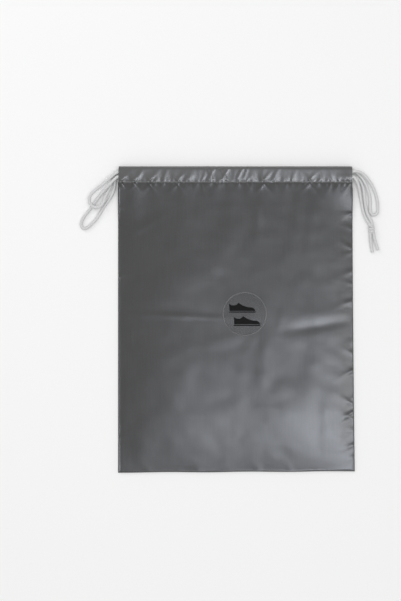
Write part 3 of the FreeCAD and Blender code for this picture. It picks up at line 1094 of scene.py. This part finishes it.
def grid_normals(grid):
    """Unit normals of a grid of points, by its own two directions."""
    normals = np.cross(np.gradient(grid, axis=1), np.gradient(grid, axis=0))
    return normals / np.linalg.norm(normals, axis=2, keepdims=True)


def cloth_shell(name, grid, pattern, normals, flip=False, finish=None):
    """A closed shell of cloth from a grid of points on its outer face."""
    if flip:
        normals = -normals
    rows, columns = grid.shape[:2]
    inner = grid - normals * sheet_thickness
    points = np.concatenate([grid.reshape(-1, 3), inner.reshape(-1, 3)])
    vertex_normals = np.concatenate([normals.reshape(-1, 3), -normals.reshape(-1, 3)])
    index = np.arange(rows * columns).reshape(rows, columns)
    quads = np.stack([index[:-1, :-1], index[:-1, 1:], index[1:, 1:], index[1:, :-1]], -1)
    outer_faces = quads.reshape(-1, 4)
    inner_faces = outer_faces[:, ::-1] + rows * columns
    rim = np.concatenate([index[0, :], index[1:, -1], index[-1, -2::-1], index[-2:0:-1, 0]])
    ahead = np.roll(rim, -1)
    walls = np.stack([ahead, rim, rim + rows * columns, ahead + rows * columns], -1)
    faces = np.concatenate([outer_faces, inner_faces, walls])
    if flip:
        faces = faces[:, ::-1]
    piece = plain_mesh(name, points.tolist(), faces.tolist())
    mesh = piece.data
    uv = np.concatenate([pattern.reshape(-1, 2), pattern.reshape(-1, 2)])
    layer = mesh.uv_layers.new(name="pattern")
    layer.data.foreach_set("uv", uv[faces.ravel()].astype(np.float32).ravel())
    mesh.materials.append(finish or satin)
    mesh.materials.append(satin_back)
    slots = np.repeat([0, 1, 0], [len(outer_faces), len(inner_faces), len(walls)])
    mesh.polygons.foreach_set("material_index", slots)
    mesh.polygons.foreach_set("use_smooth", [True] * len(faces))
    corner_normals = vertex_normals[faces.ravel()].reshape(-1, 4, 3)
    wall_corners = points[walls if not flip else walls[:, ::-1]]
    origin = wall_corners[:, 0]
    wall_normals = np.cross(wall_corners[:, 1] - origin, wall_corners[:, 3] - origin)
    wall_normals /= np.maximum(np.linalg.norm(wall_normals, axis=1, keepdims=True), 1e-12)
    corner_normals[len(outer_faces) + len(inner_faces) :] = wall_normals[:, None, :]
    mesh.normals_split_custom_set(corner_normals.reshape(-1, 3).tolist())
    return piece


def even_steps(start, stop, step, fine=()):
    """Positions from start to stop, with finer ones listed as distances from the start."""
    fine = [start + value for value in fine]
    begin = fine[-1] if fine else start
    count = max(1, round((stop - begin) / step))
    rest = np.linspace(begin, stop, count + 1)
    return np.concatenate([fine[:-1], rest])


edge_steps = (0.0, 0.0002, 0.0004, 0.0007, 0.001, 0.0014, 0.0018, 0.0023, 0.0029, 0.0037, 0.0047)
column_step = 0.0014
fine_depth, fine_step = 0.045, 0.0010
row_step = 0.0022
right_columns = -even_steps(-half_width, 0.0, column_step, edge_steps)[::-1]
columns = np.concatenate([-right_columns[:0:-1], right_columns])
fine_start = hem_y - fine_depth
low_rows = even_steps(bottom_y, fine_start, row_step, edge_steps)
panel_rows = np.concatenate([low_rows, even_steps(fine_start, hem_y, fine_step)[1:]])
print("front grid:", len(columns), "columns,", len(panel_rows), "rows")

# %% [markdown]
# ## Front panel and front casing
#
# The casing is the same cloth carried on over the stitch line. It climbs over the two cords,
# turns round at the mouth, comes back underneath and is caught by the stitches. Its section
# is a short list of points, one for the middle of the bag and a fuller one for the ends, where
# the cords come out, and the puckers of the stitch line run on up its face.

# %% Front casing's section
middle_section = [
    (0.0, 8.35), (1.5, 8.35), (3.0, 8.62), (5.5, 9.06), (8.5, 9.56), (11.5, 10.00), (14.5, 10.40),
    (16.8, 10.64), (18.4, 10.50), (19.6, 9.40), (20.0, 8.00), (19.7, 6.90), (18.7, 5.98),
    (17.0, 5.52), (14.5, 5.43), (10.0, 5.42), (5.6, 5.45), (3.9, 6.20), (2.2, 7.45), (0.0, 7.56),
]
end_section = [
    (0.0, 8.35), (1.5, 8.40), (3.0, 9.05), (5.5, 9.95), (8.5, 10.42), (11.5, 10.40), (14.5, 10.44),
    (16.8, 10.40), (18.5, 10.02), (19.6, 9.15), (20.0, 8.00), (19.7, 6.90), (18.7, 5.98),
    (17.0, 5.52), (14.5, 5.43), (10.0, 5.42), (5.6, 5.45), (3.9, 6.20), (2.2, 7.45), (0.0, 7.56),
]


def smooth_section(section, count):
    """A smooth line through a section's points, evenly spaced, in metres."""
    knots = np.array(section, float) / 1000
    lead_in = np.vstack([2 * knots[0] - knots[1], knots, 2 * knots[-1] - knots[-2]])
    dense = []
    for before, start, end, after in zip(lead_in, lead_in[1:], lead_in[2:], lead_in[3:]):
        for t in np.linspace(0, 1, 16, endpoint=False):
            dense.append(
                0.5
                * (
                    2 * start
                    + (end - before) * t
                    + (2 * before - 5 * start + 4 * end - after) * t**2
                    + (3 * start - before - 3 * end + after) * t**3
                )
            )
    dense = np.array(dense + [knots[-1]])
    steps = np.concatenate([[0], np.cumsum(np.linalg.norm(np.diff(dense, axis=0), axis=1))])
    even = np.linspace(0, steps[-1], count)
    return np.stack([np.interp(even, steps, dense[:, axis]) for axis in (0, 1)], -1), even


section_count = 64
middle_line, along_section = smooth_section(middle_section, section_count)
end_line, _ = smooth_section(end_section, section_count)
# Pairs that lean together where the stitches have gathered the cloth most.
for place in (-0.147, -0.131, -0.111, -0.076, 0.034, 0.092):
    hem_puckers.append((place, 0.0013, 0.0080, 0.0014, 0.8))
    hem_puckers.append((place + 0.0045, 0.0012, 0.0070, 0.0014, -0.8))
casing_puckers = draw_puckers(
    21, -0.148, 0.148,
    gaps=(0.006, 0.017), heights=(0.0002, 0.0007),
    reaches=(0.010, 0.026), widths=(0.0014, 0.0032),
)
# Ridges over the hidden knot: place along the casing, height, width and lean.
crumple = [
    (-0.036, 0.0006, 0.0022, 0.5),
    (-0.028, 0.0007, 0.0018, -0.4),
    (-0.019, 0.0006, 0.0020, 0.6),
    (-0.010, 0.0008, 0.0018, -0.5),
    (0.0, 0.0007, 0.0022, 0.55),
    (0.010, 0.0006, 0.0020, 0.3),
]


full_start, full_ramp = 0.126, 0.014
rear_fade_rows = 4.0


def lay_casing(x):
    """Rows of points round the front casing's section at some places along it."""
    fullness = ease((np.abs(x) - full_start) / full_ramp)[None, :]
    place = x[None, :]
    ahead = middle_line[:, 0, None] * (1 - fullness) + end_line[:, 0, None] * fullness
    height = middle_line[:, 1, None] * (1 - fullness) + end_line[:, 1, None] * fullness
    peak = int(np.argmax(middle_line[:, 0]))
    rows = np.arange(section_count)[:, None]
    face = np.where(rows < peak, 1.0, np.exp(-(rows - peak) / rear_fade_rows))
    away = np.abs(middle_line[:, 0, None] - stitch_offset)
    ripple = puckered(place, away, hem_puckers) * (1 - 0.3 * fullness)
    ripple = ripple + puckered(place, away, casing_puckers, 0.8)
    for centre, size, width, lean in crumple:
        offset = (place - centre - lean * away) / width
        ripple = ripple + size * np.exp(-(offset**2)) * ease(away / 0.004)
    slack = 0.00018 * np.sin(place * 95 + 1.0) * ease(away / 0.006)
    lift = (ripple + stitch_dip(away) + slack) * face
    y = hem_y + ahead - 0.25 * ripple * face * ease(away / 0.012)
    edge_wave = 0.00035 * np.sin(place * 43 + 0.4) * ease(away / 0.015)
    return np.stack([np.broadcast_to(place, ahead.shape), y + edge_wave, height + lift], -1)


def build_front():
    """The front panel and casing, each in two halves with shared normals."""
    spread_x, spread_y = np.meshgrid(columns, panel_rows)
    narrowing = 1 - (casing_inset / half_width) * ease((spread_y - hem_y + 0.010) / 0.008)
    panel = lay_front(spread_x * narrowing, spread_y)
    casing = lay_casing(columns * (half_width - casing_inset) / half_width)
    blend_rows = np.exp(-along_section / 0.0015)[:, None]
    casing[..., 2] += blend_rows * (panel[-1, :, 2] - casing[0, :, 2])[None, :]
    casing[..., :2] += blend_rows[..., None] * (panel[-1, :, :2] - casing[0, :, :2])[None]
    whole = np.concatenate([panel, casing[1:]])
    normals = grid_normals(whole)
    pattern_y = np.concatenate([panel_rows, hem_y + along_section[1:]])
    pattern = np.stack(np.meshgrid(columns, pattern_y), -1)
    split = len(panel_rows)
    middle = len(columns) // 2
    parts = {}
    for side, columns_part in (("left", slice(0, middle + 1)), ("right", slice(middle, None))):
        for kind, rows_part in (("panel", slice(0, split)), ("casing", slice(split - 1, None))):
            part = (rows_part, columns_part)
            # The casing takes the lighter satin, whose extra brightness is painted light.
            finish = satin if kind == "panel" else satin_painted_light
            name = f"front_{kind}_{side}"
            shell = cloth_shell(name, whole[part], pattern[part], normals[part], finish=finish)
            parts[kind, side] = shell
    return parts, whole


front_parts, front_grid = build_front()


def bend_with_mouth(piece):
    """Bakes the piece's placement into its mesh."""
    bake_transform(piece)


for (kind, side), piece in front_parts.items():
    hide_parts(f"front_{kind}")
    bend_with_mouth(piece)
    print(piece.name, len(piece.data.polygons), "faces")

# %% [markdown]
# ## Back panel and back casing
#
# The back panel lies flat on the table with only a slight ripple, and it shows when the mouth
# is open. Its casing turns the other way round: down on the table, round at the mouth, and
# back over the cords on the inside.

# %% Back panel and back casing
back_count = 60
back_section = [
    (0.0, 0.06), (3.0, 0.05), (8.0, 0.05), (13.0, 0.05), (16.8, 0.10), (18.9, 0.90), (19.85, 2.50),
    (19.5, 4.00), (18.2, 4.85), (16.0, 5.08), (14.0, 5.08), (11.4, 4.95), (8.4, 5.06), (6.3, 4.85),
    (4.4, 3.30), (2.9, 1.40), (1.9, 0.84), (0.0, 0.80),
]


back_step = 0.0025
back_lift, back_ripple = 0.00004, 0.00006


def build_back():
    """The back panel and the back casing."""
    xs = even_steps(-half_width, half_width, back_step)
    ys = even_steps(bottom_y, rear_casing_low.y, back_step)
    spread_x, spread_y = np.meshgrid(xs, ys)
    inward = ease((half_width - np.abs(spread_x)) / 0.02)
    ripple = back_ripple * (1 + np.sin(70 * spread_x + 24 * spread_y)) * inward
    grid = settle(np.stack([spread_x, spread_y, back_lift + ripple], -1))
    pattern = np.stack([spread_x, spread_y], -1)
    panel = cloth_shell("back_panel_cloth", grid, pattern, grid_normals(grid), flip=True)
    line, along = smooth_section(back_section, back_count)
    xs = even_steps(-half_width + casing_inset, half_width - casing_inset, 0.0016)
    place = xs[None, :]
    away = np.abs(line[:, 0, None] - stitch_offset)
    rows = np.arange(back_count)[:, None]
    peak = int(np.argmax(line[:, 0]))
    inside = np.where(rows > peak, 1.0, np.exp((rows - peak) / rear_fade_rows))
    ripple = puckered(place, away, back_puckers) * inside
    x = np.broadcast_to(place, ripple.shape)
    y = rear_casing_low.y + np.broadcast_to(line[:, 0, None], ripple.shape)
    grid = np.stack([x, y, line[:, 1, None] + ripple], -1)
    spread = np.stack([x, rear_casing_low.y + np.broadcast_to(along[:, None], ripple.shape)], -1)
    normals = grid_normals(grid)
    # The back casing takes the lighter satin too, whose extra brightness is painted light.
    casing = cloth_shell("back_casing_cloth", grid, spread, normals, flip=True, finish=satin_painted_light)
    return panel, casing


back_puckers = draw_puckers(
    31, -0.148, 0.148,
    gaps=(0.007, 0.018), heights=(0.0001, 0.0004),
    reaches=(0.003, 0.007), widths=(0.0012, 0.0024),
)
back_panel, back_casing = build_back()
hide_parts("back_panel")
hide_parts("back_casing")
casing_depth = float(smooth_section(back_section, back_count)[1][-1])
for piece in (back_panel, back_casing):
    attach(piece, "bag")
    print(piece.name, len(piece.data.polygons), "faces")

# %% [markdown]
# ## Seam allowances
#
# Inside the bag, the two cut edges of each seam lie together as a strip, bound by overlock
# thread. The strips only show when the mouth is open, but they give the edge of the bag its
# thickness. Each one is a small padded strip with a wavy free edge.

# %% Seam allowances
inset = 0.0007
strip_low = back_high.z + 0.00002
strip_high = seam_strip_high.z


def build_strip(name, node, across, along, turned):
    """A bound strip of seam allowance between two limits across and two along."""
    steps = even_steps(along[0], along[1], 0.0022)
    share = np.linspace(0, 1, 13)
    dome = np.sin(math.pi * np.clip(share, 0, 1)) ** 0.35
    wave = 0.00025 * np.sin(steps * 310)[:, None] * share[None, :]
    wave = wave + 0.0001 * np.sin(steps * 97)[:, None]
    places = across[0] + (across[1] - across[0]) * share[None, :] + wave
    heights = strip_low + 0.00032 + (strip_high - strip_low - 0.00034) * dome[None, :]
    heights = np.broadcast_to(heights, places.shape)
    lengths = np.broadcast_to(steps[:, None], places.shape)
    if turned:
        grid = np.stack([lengths, places, heights], -1).transpose(1, 0, 2)
    else:
        grid = np.stack([places, lengths, heights], -1)
    pattern = grid[..., :2].copy()
    normals = grid_normals(grid)
    normals = np.where(normals[..., 2:] < 0, -normals, normals)
    flip = np.cross(grid[0, 1] - grid[0, 0], grid[1, 0] - grid[0, 0])[2] < 0
    if flip:
        grid, pattern, normals = grid[:, ::-1], pattern[:, ::-1], normals[:, ::-1]
    piece = cloth_shell(name, settle(grid), pattern, normals)
    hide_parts(node)
    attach(piece, "bag")
    return piece


seam_inner = half_width - seam_strip_low.x
side_limits = (seam_strip_low.y, seam_strip_high.y)
outer = half_width - inset
for side, sign in (("left", -1), ("right", 1)):
    limits = (sign * outer, sign * (outer - seam_inner))
    build_strip(f"{side}_seam_strip", f"{side}_seam_allowance", limits, side_limits, False)
foot_limits = (bottom_y + inset, seam_strip_low.y)
build_strip("bottom_seam_strip", "bottom_seam_allowance", foot_limits, (-outer, outer), True)
print("three seam allowances")

# %% [markdown]
# ## Stitches
#
# A row of stitches is one small shape repeated along a line, which is work for Geometry Nodes.
# The tree takes a line of points on the cloth, spaces the stitches evenly along it, turns each
# one to follow the line or lie across it, and varies them a little. It ends in real geometry
# with its material set, and the result is kept as a plain mesh.

# %% Stitch tree


def random_output(node):
    """The output that a Random Value node has in use."""
    return next(socket for socket in node.outputs if socket.enabled)


def make_stitch_tree():
    """A Geometry Nodes tree that sews a row of arched stitches along a line."""
    tree = bpy.data.node_groups.new("sewn stitches", "GeometryNodeTree")
    face = tree.interface
    face.new_socket("Geometry", in_out="INPUT", socket_type="NodeSocketGeometry")
    values = {
        "Spacing": 0.0028,
        "Stitch Length": 0.0022,
        "Thread Radius": 0.0002,
        "Arch": 0.0002,
        "Turn": 0.0,
    }
    for label, value in values.items():
        face.new_socket(label, in_out="INPUT", socket_type="NodeSocketFloat").default_value = value
    face.new_socket("Seed", in_out="INPUT", socket_type="NodeSocketInt").default_value = 1
    face.new_socket("Material", in_out="INPUT", socket_type="NodeSocketMaterial")
    face.new_socket("Geometry", in_out="OUTPUT", socket_type="NodeSocketGeometry")
    given = tree.nodes.new("NodeGroupInput").outputs
    result = tree.nodes.new("NodeGroupOutput")

    half = maths(tree, "MULTIPLY", given["Stitch Length"], 0.5)
    back = maths(tree, "MULTIPLY", given["Stitch Length"], -0.5)
    crest = maths(tree, "MULTIPLY", given["Arch"], 2.0)
    start = add_node(tree, "ShaderNodeCombineXYZ", {"X": back}).outputs[0]
    middle = add_node(tree, "ShaderNodeCombineXYZ", {"Z": crest}).outputs[0]
    end = add_node(tree, "ShaderNodeCombineXYZ", {"X": half}).outputs[0]
    arch = add_node(
        tree,
        "GeometryNodeCurveQuadraticBezier",
        {"Resolution": 5, "Start": start, "Middle": middle, "End": end},
    )
    ring = add_node(
        tree,
        "GeometryNodeCurvePrimitiveCircle",
        {"Resolution": 6, "Radius": given["Thread Radius"]},
    )
    stitch = add_node(
        tree,
        "GeometryNodeCurveToMesh",
        {"Curve": arch.outputs[0], "Profile Curve": ring.outputs[0], "Fill Caps": True},
    )
    line = add_node(tree, "GeometryNodeMeshToCurve", {"Mesh": given["Geometry"]})
    spaced = add_node(
        tree,
        "GeometryNodeResampleCurve",
        {"Curve": line.outputs[0], "Length": given["Spacing"]},
        mode="LENGTH",
    )
    tangent = tree.nodes.new("GeometryNodeInputTangent").outputs[0]
    aligned = add_node(tree, "FunctionNodeAlignRotationToVector", {"Vector": tangent}, axis="X")
    wobble = add_node(
        tree,
        "FunctionNodeRandomValue",
        {"Min": -0.06, "Max": 0.06, "Seed": given["Seed"]},
        data_type="FLOAT",
    )
    turn = maths(tree, "ADD", given["Turn"], random_output(wobble))
    spin = add_node(tree, "ShaderNodeCombineXYZ", {"Z": turn}).outputs[0]
    spin = add_node(tree, "FunctionNodeEulerToRotation", {0: spin}).outputs[0]
    rotated = add_node(
        tree,
        "FunctionNodeRotateRotation",
        {"Rotation": aligned.outputs[0], "Rotate By": spin},
        rotation_space="LOCAL",
    )
    size = add_node(
        tree,
        "FunctionNodeRandomValue",
        {"Min": 0.9, "Max": 1.06, "Seed": given["Seed"]},
        data_type="FLOAT",
    )
    placed = add_node(
        tree,
        "GeometryNodeInstanceOnPoints",
        {
            "Points": spaced.outputs[0],
            "Instance": stitch.outputs[0],
            "Rotation": rotated.outputs[0],
            "Scale": random_output(size),
        },
    )
    real = add_node(tree, "GeometryNodeRealizeInstances", {"Geometry": placed.outputs[0]})
    soft = add_node(tree, "GeometryNodeSetShadeSmooth", {"Geometry": real.outputs[0]})
    painted = add_node(
        tree,
        "GeometryNodeSetMaterial",
        {"Geometry": soft.outputs[0], "Material": given["Material"]},
    )
    tree.links.new(painted.outputs[0], result.inputs[0])
    return tree


stitch_tree = make_stitch_tree()


def sew(name, line, node, **values):
    """Sews one row of stitches along a line of points and keeps it as a plain mesh."""
    path = bpy.data.meshes.new(name + "_line")
    edges = [(i, i + 1) for i in range(len(line) - 1)]
    path.from_pydata([tuple(point) for point in line], edges, [])
    guide = bpy.data.objects.new(name + "_line", path)
    bpy.context.scene.collection.objects.link(guide)
    modifier = guide.modifiers.new("stitches", "NODES")
    modifier.node_group = stitch_tree
    wanted = {key.replace("_", " "): value for key, value in values.items()}
    wanted["Material"] = thread_finish
    for item in stitch_tree.interface.items_tree:
        if item.name in wanted and item.in_out == "INPUT":
            modifier[item.identifier] = wanted[item.name]
    graph = bpy.context.evaluated_depsgraph_get()
    mesh = bpy.data.meshes.new_from_object(guide.evaluated_get(graph))
    bpy.data.objects.remove(guide)
    piece = bpy.data.objects.new(name, mesh)
    bpy.context.scene.collection.objects.link(piece)
    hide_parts(node)
    print(f"{name}: {len(mesh.polygons)} faces")
    return piece


# %% Rows of stitches
thread_lift = 0.00012
hem_stitch_end = 0.1485
side_seam_x = 0.1472
side_seam_low, side_seam_high = -0.188, 0.1676
foot_seam_y = -0.1935
tack_inner, tack_outer = 0.1442, 0.1493
back_thread_z = 0.00093
hem_row = int(np.argmin(np.abs(along_section - 0.0011)))
stitch_line = front_grid[len(panel_rows) - 1 + hem_row] + np.array((0, 0, thread_lift))
middle_column = len(columns) // 2
for side, part in (("left", slice(2, middle_column + 1)), ("right", slice(middle_column, -2))):
    row = sew(
        f"front_casing_stitches_{side}",
        stitch_line[part],
        "front_casing_stitches",
        Spacing=0.0029,
        Stitch_Length=0.0023,
        Thread_Radius=0.00020,
        Arch=0.00018,
        Seed=4,
    )
    bend_with_mouth(row)


def straight(start, stop, count=120):
    """Evenly spaced points between two places, moved as the cloth has settled."""
    return settle(np.linspace(start, stop, count))


back_row_y = rear_casing_low.y + stitch_offset
row = sew(
    "back_casing_stitches_row",
    straight(
        (-hem_stitch_end, back_row_y, back_thread_z),
        (hem_stitch_end, back_row_y, back_thread_z),
    ),
    "back_casing_stitches",
    Spacing=0.0029,
    Stitch_Length=0.0023,
    Seed=5,
)
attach(row, "bag")

seam_z = strip_high + thread_lift
seam_rows = {
    "left_seam_stitches": ((-side_seam_x, side_seam_low), (-side_seam_x, side_seam_high)),
    "right_seam_stitches": ((side_seam_x, side_seam_high), (side_seam_x, side_seam_low)),
    "bottom_seam_stitches": ((-hem_stitch_end, foot_seam_y), (hem_stitch_end, foot_seam_y)),
}
for node, (start, stop) in seam_rows.items():
    start, stop = (*start, seam_z), (*stop, seam_z)
    line = straight(start, stop)
    plain = sew(node + "_row", line, node, Spacing=0.0028, Stitch_Length=0.0024, Seed=6)
    shift = np.array({"l": (0.003, 0, 0), "r": (-0.003, 0, 0), "b": (0, 0.003, 0)}[node[0]])
    bound = sew(
        node + "_overlock",
        line + shift,
        node,
        Spacing=0.0013,
        Stitch_Length=0.0048,
        Thread_Radius=0.00014,
        Arch=0.00012,
        Turn=1.25,
        Seed=7,
    )
    for piece in (plain, bound):
        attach(piece, "bag")

for side, sign in (("left", -1), ("right", 1)):
    node = f"{side}_slit_bartack"
    low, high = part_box(node)
    level = (low.y + high.y) / 2
    row = sew(
        node + "_zigzag",
        straight((sign * tack_inner, level, seam_z), (sign * tack_outer, level, seam_z), 30),
        node,
        Spacing=0.0004,
        Stitch_Length=0.0013,
        Thread_Radius=0.00014,
        Arch=0.0001,
        Turn=1.3,
        Seed=8,
    )
    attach(row, "bag")

# %% [markdown]
# ## Cords inside the casings
#
# The cords run on through both casings. They are pressed a little flat by the cloth, so these
# stretches are ovals. In the front casing they are cut at the middle like the cloth is. The
# left cord's two ends are tied inside the front casing by a small flat knot, which is what
# makes it one closed loop.

# %% Cords inside the casings
flat_share = 0.28
run_radius = 0.98 * cord_radius
hidden_knot_end = 0.013
run_sway = 0.0002
for stem, heights in (("left_cord", upper_y), ("right_cord", lower_y)):
    xs = np.linspace(-run_end, run_end, 500)
    y = heights["back"] + run_sway * np.sin(xs * 60)
    line = np.stack([xs, y, np.full_like(xs, bore_z["back"])], -1)
    name = f"{stem}_back_run_braid"
    tube = braided_tube(name, line, run_radius, around=24, flatten=flat_share)
    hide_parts(f"{stem}_back_run")
    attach(tube, "bag")
    right_start = 0.0 if stem == "right_cord" else hidden_knot_end
    for side, limits in (("left", (-run_end, 0.0)), ("right", (right_start, run_end))):
        xs = np.linspace(*limits, 260)
        y = heights["front"] + run_sway * np.sin(xs * 47)
        inside = ease((0.140 - np.abs(xs)) / 0.02)
        z = bore_z["front"] - 0.0004 * inside
        line = np.stack([xs, y, z], -1)
        name = f"{stem}_front_run_{side}"
        tube = braided_tube(name, line, run_radius, around=24, flatten=flat_share)
        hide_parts(f"{stem}_front_run")
        bend_with_mouth(tube)

hidden_low, hidden_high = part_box("left_cord_hidden_knot")
hidden_centre = (hidden_low + hidden_high) / 2
hidden_knot = wound_strand(
    "left_cord_joining_knot",
    hidden_centre - Vector((0, 0, 0.0003)),
    Vector((1, 0, 0)),
    length=0.0118,
    reach=0.0036,
    height=0.0018,
    strand=0.0010,
    turns=3.2,
    lean=0.2,
)
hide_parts("left_cord_hidden_knot")
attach(hidden_knot, "front")
print("cord runs and the joining knot")

# %% [markdown]
# ## The printed badge
#
# The badge is a clear round transfer film with a black print, pressed on to the cloth, so it
# follows the same folds. The print is a generic pair of low shoes. Each shape is an outline
# filled with small triangles, so that it can bend with the cloth.

# %% Badge
film_thickness = film_high.z - film_low.z
print_low, print_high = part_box("badge_print")
ink_thickness = print_high.z - print_low.z
film_gap = 0.00012


def arc_points(first, second, third, count=14):
    """Points on the arc through three points of a plane."""
    (ax, ay), (bx, by), (cx, cy) = first, second, third
    scale = 2 * (ax * (by - cy) + bx * (cy - ay) + cx * (ay - by))
    sums = [px * px + py * py for px, py in (first, second, third)]
    ux = (sums[0] * (by - cy) + sums[1] * (cy - ay) + sums[2] * (ay - by)) / scale
    uy = (sums[0] * (cx - bx) + sums[1] * (ax - cx) + sums[2] * (bx - ax)) / scale
    angles = [math.atan2(py - uy, px - ux) for px, py in (first, second, third)]
    for i in (1, 2):
        while angles[i] - angles[i - 1] > math.pi:
            angles[i] -= 2 * math.pi
        while angles[i] - angles[i - 1] < -math.pi:
            angles[i] += 2 * math.pi
    radius = math.hypot(ax - ux, ay - uy)
    steps = np.linspace(angles[0], angles[2], count)
    return [(ux + radius * math.cos(step), uy + radius * math.sin(step)) for step in steps]


def straight_points(start, stop, count=16):
    """Points on a straight line of a plane."""
    return [tuple(point) for point in np.linspace(start, stop, count)]


def joined(*stretches):
    """One closed outline from stretches that meet end to end."""
    return [point for stretch in stretches for point in stretch[:-1]]


def filled_outline(outline, spacing):
    """Small triangles that fill an outline: their points and faces."""
    outline = np.array(outline)
    low, high = outline.min(0), outline.max(0)
    seeds = []
    row_step, rim_room = spacing * 0.87, spacing * 0.45
    for row, y in enumerate(np.arange(low[1] + spacing / 2, high[1], row_step)):
        for x in np.arange(low[0] + spacing / 2 + (row % 2) * spacing / 2, high[0], spacing):
            nearest = np.hypot(*(outline - (x, y)).T).min()
            if nearest > rim_room:
                seeds.append((x, y))
    points = [Vector(point) for point in outline] + [Vector(point) for point in seeds]
    loop = list(range(len(outline)))
    made = delaunay_2d_cdt(points, [], [loop], 1, 1e-9)
    return np.array(made[0]), made[2]


def face_up(flat, triangle):
    """The triangle with its corners counter-clockwise."""
    first, second, third = (flat[corner] for corner in triangle)
    ahead, aside = second - first, third - first
    turns_left = ahead[0] * aside[1] - ahead[1] * aside[0] > 0
    return tuple(triangle) if turns_left else tuple(reversed(triangle))


def pressed_layer(name, outlines, spacing, lift, thickness, finish, node):
    """A thin closed layer of one or more outlines, pressed on to the cloth."""
    points, faces = [], []
    for outline in outlines:
        flat, triangles = filled_outline(outline, spacing)
        triangles = [face_up(flat, triangle) for triangle in triangles]
        below = lay_front(flat[:, 0], flat[:, 1])
        base = len(points)
        top = below + np.array((0, 0, lift + thickness))
        bottom = below + np.array((0, 0, lift))
        points += [tuple(point) for point in np.concatenate([top, bottom])]
        count = len(flat)
        faces += [tuple(base + index for index in face) for face in triangles]
        faces += [tuple(base + count + index for index in reversed(face)) for face in triangles]
        edges = {(face[i], face[(i + 1) % 3]) for face in triangles for i in range(3)}
        for a, b in edges:
            if (b, a) not in edges:
                faces.append((base + b, base + a, base + count + a, base + count + b))
    piece = plain_mesh(name, points, faces)
    piece.data.polygons.foreach_set("use_smooth", [len(face) == 3 for face in faces])
    piece.data.materials.append(finish)
    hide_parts(node)
    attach(piece, "front")
    print(f"{name}: {len(faces)} faces")
    return piece


circle = [
    (film_centre.x + film_radius * math.cos(turn), film_centre.y + film_radius * math.sin(turn))
    for turn in np.linspace(0, 2 * math.pi, 180, endpoint=False)
]
pressed_layer(
    "badge_film_clear",
    [circle],
    spacing=0.0016,
    lift=film_gap,
    thickness=film_thickness,
    finish=film_finish,
    node="badge_film",
)

shoe_length = 0.034
unit = shoe_length / 36
shoe_spacing = 0.017
shoe_offset = 0.006


def shoe_outlines(x, y):
    """The upper and the sole of a low shoe seen from the side."""

    def at(u, v):
        return (x + (u - 18) * unit, y + v * unit)

    upper = joined(
        straight_points(at(0.6, 2.2), at(0.0, 12.4)),
        arc_points(at(0.0, 12.4), at(6.6, 9.6), at(12.6, 13.4)),
        arc_points(at(12.6, 13.4), at(20.0, 9.0), at(28.6, 7.0), 20),
        arc_points(at(28.6, 7.0), at(33.6, 5.4), at(35.6, 2.2), 10),
        straight_points(at(35.6, 2.2), at(0.6, 2.2), 36),
    )
    sole = joined(
        arc_points(at(0.2, 1.4), at(-0.4, 0.7), at(0.2, 0.0), 8),
        straight_points(at(0.2, 0.0), at(34.6, 0.0), 36),
        arc_points(at(34.6, 0.0), at(35.8, 0.5), at(36.2, 1.4), 8),
        straight_points(at(36.2, 1.4), at(0.2, 1.4), 36),
    )
    return [upper, sole]


low_y = film_centre.y - shoe_spacing + 2.0 * unit
outlines = shoe_outlines(film_centre.x - shoe_offset / 2, low_y + shoe_spacing)
outlines += shoe_outlines(film_centre.x + shoe_offset / 2, low_y)
pressed_layer(
    "badge_print_ink",
    outlines,
    spacing=0.0009,
    lift=film_gap + film_thickness,
    thickness=ink_thickness,
    finish=ink_finish,
    node="badge_print",
)

# %% [markdown]
# ## Sizes
#
# The visual model's box is printed, in millimetres.

# %% Sizes and finish
low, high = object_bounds()
print("visual box", [round(1000 * value, 1) for value in (*low, *high)], "mm")
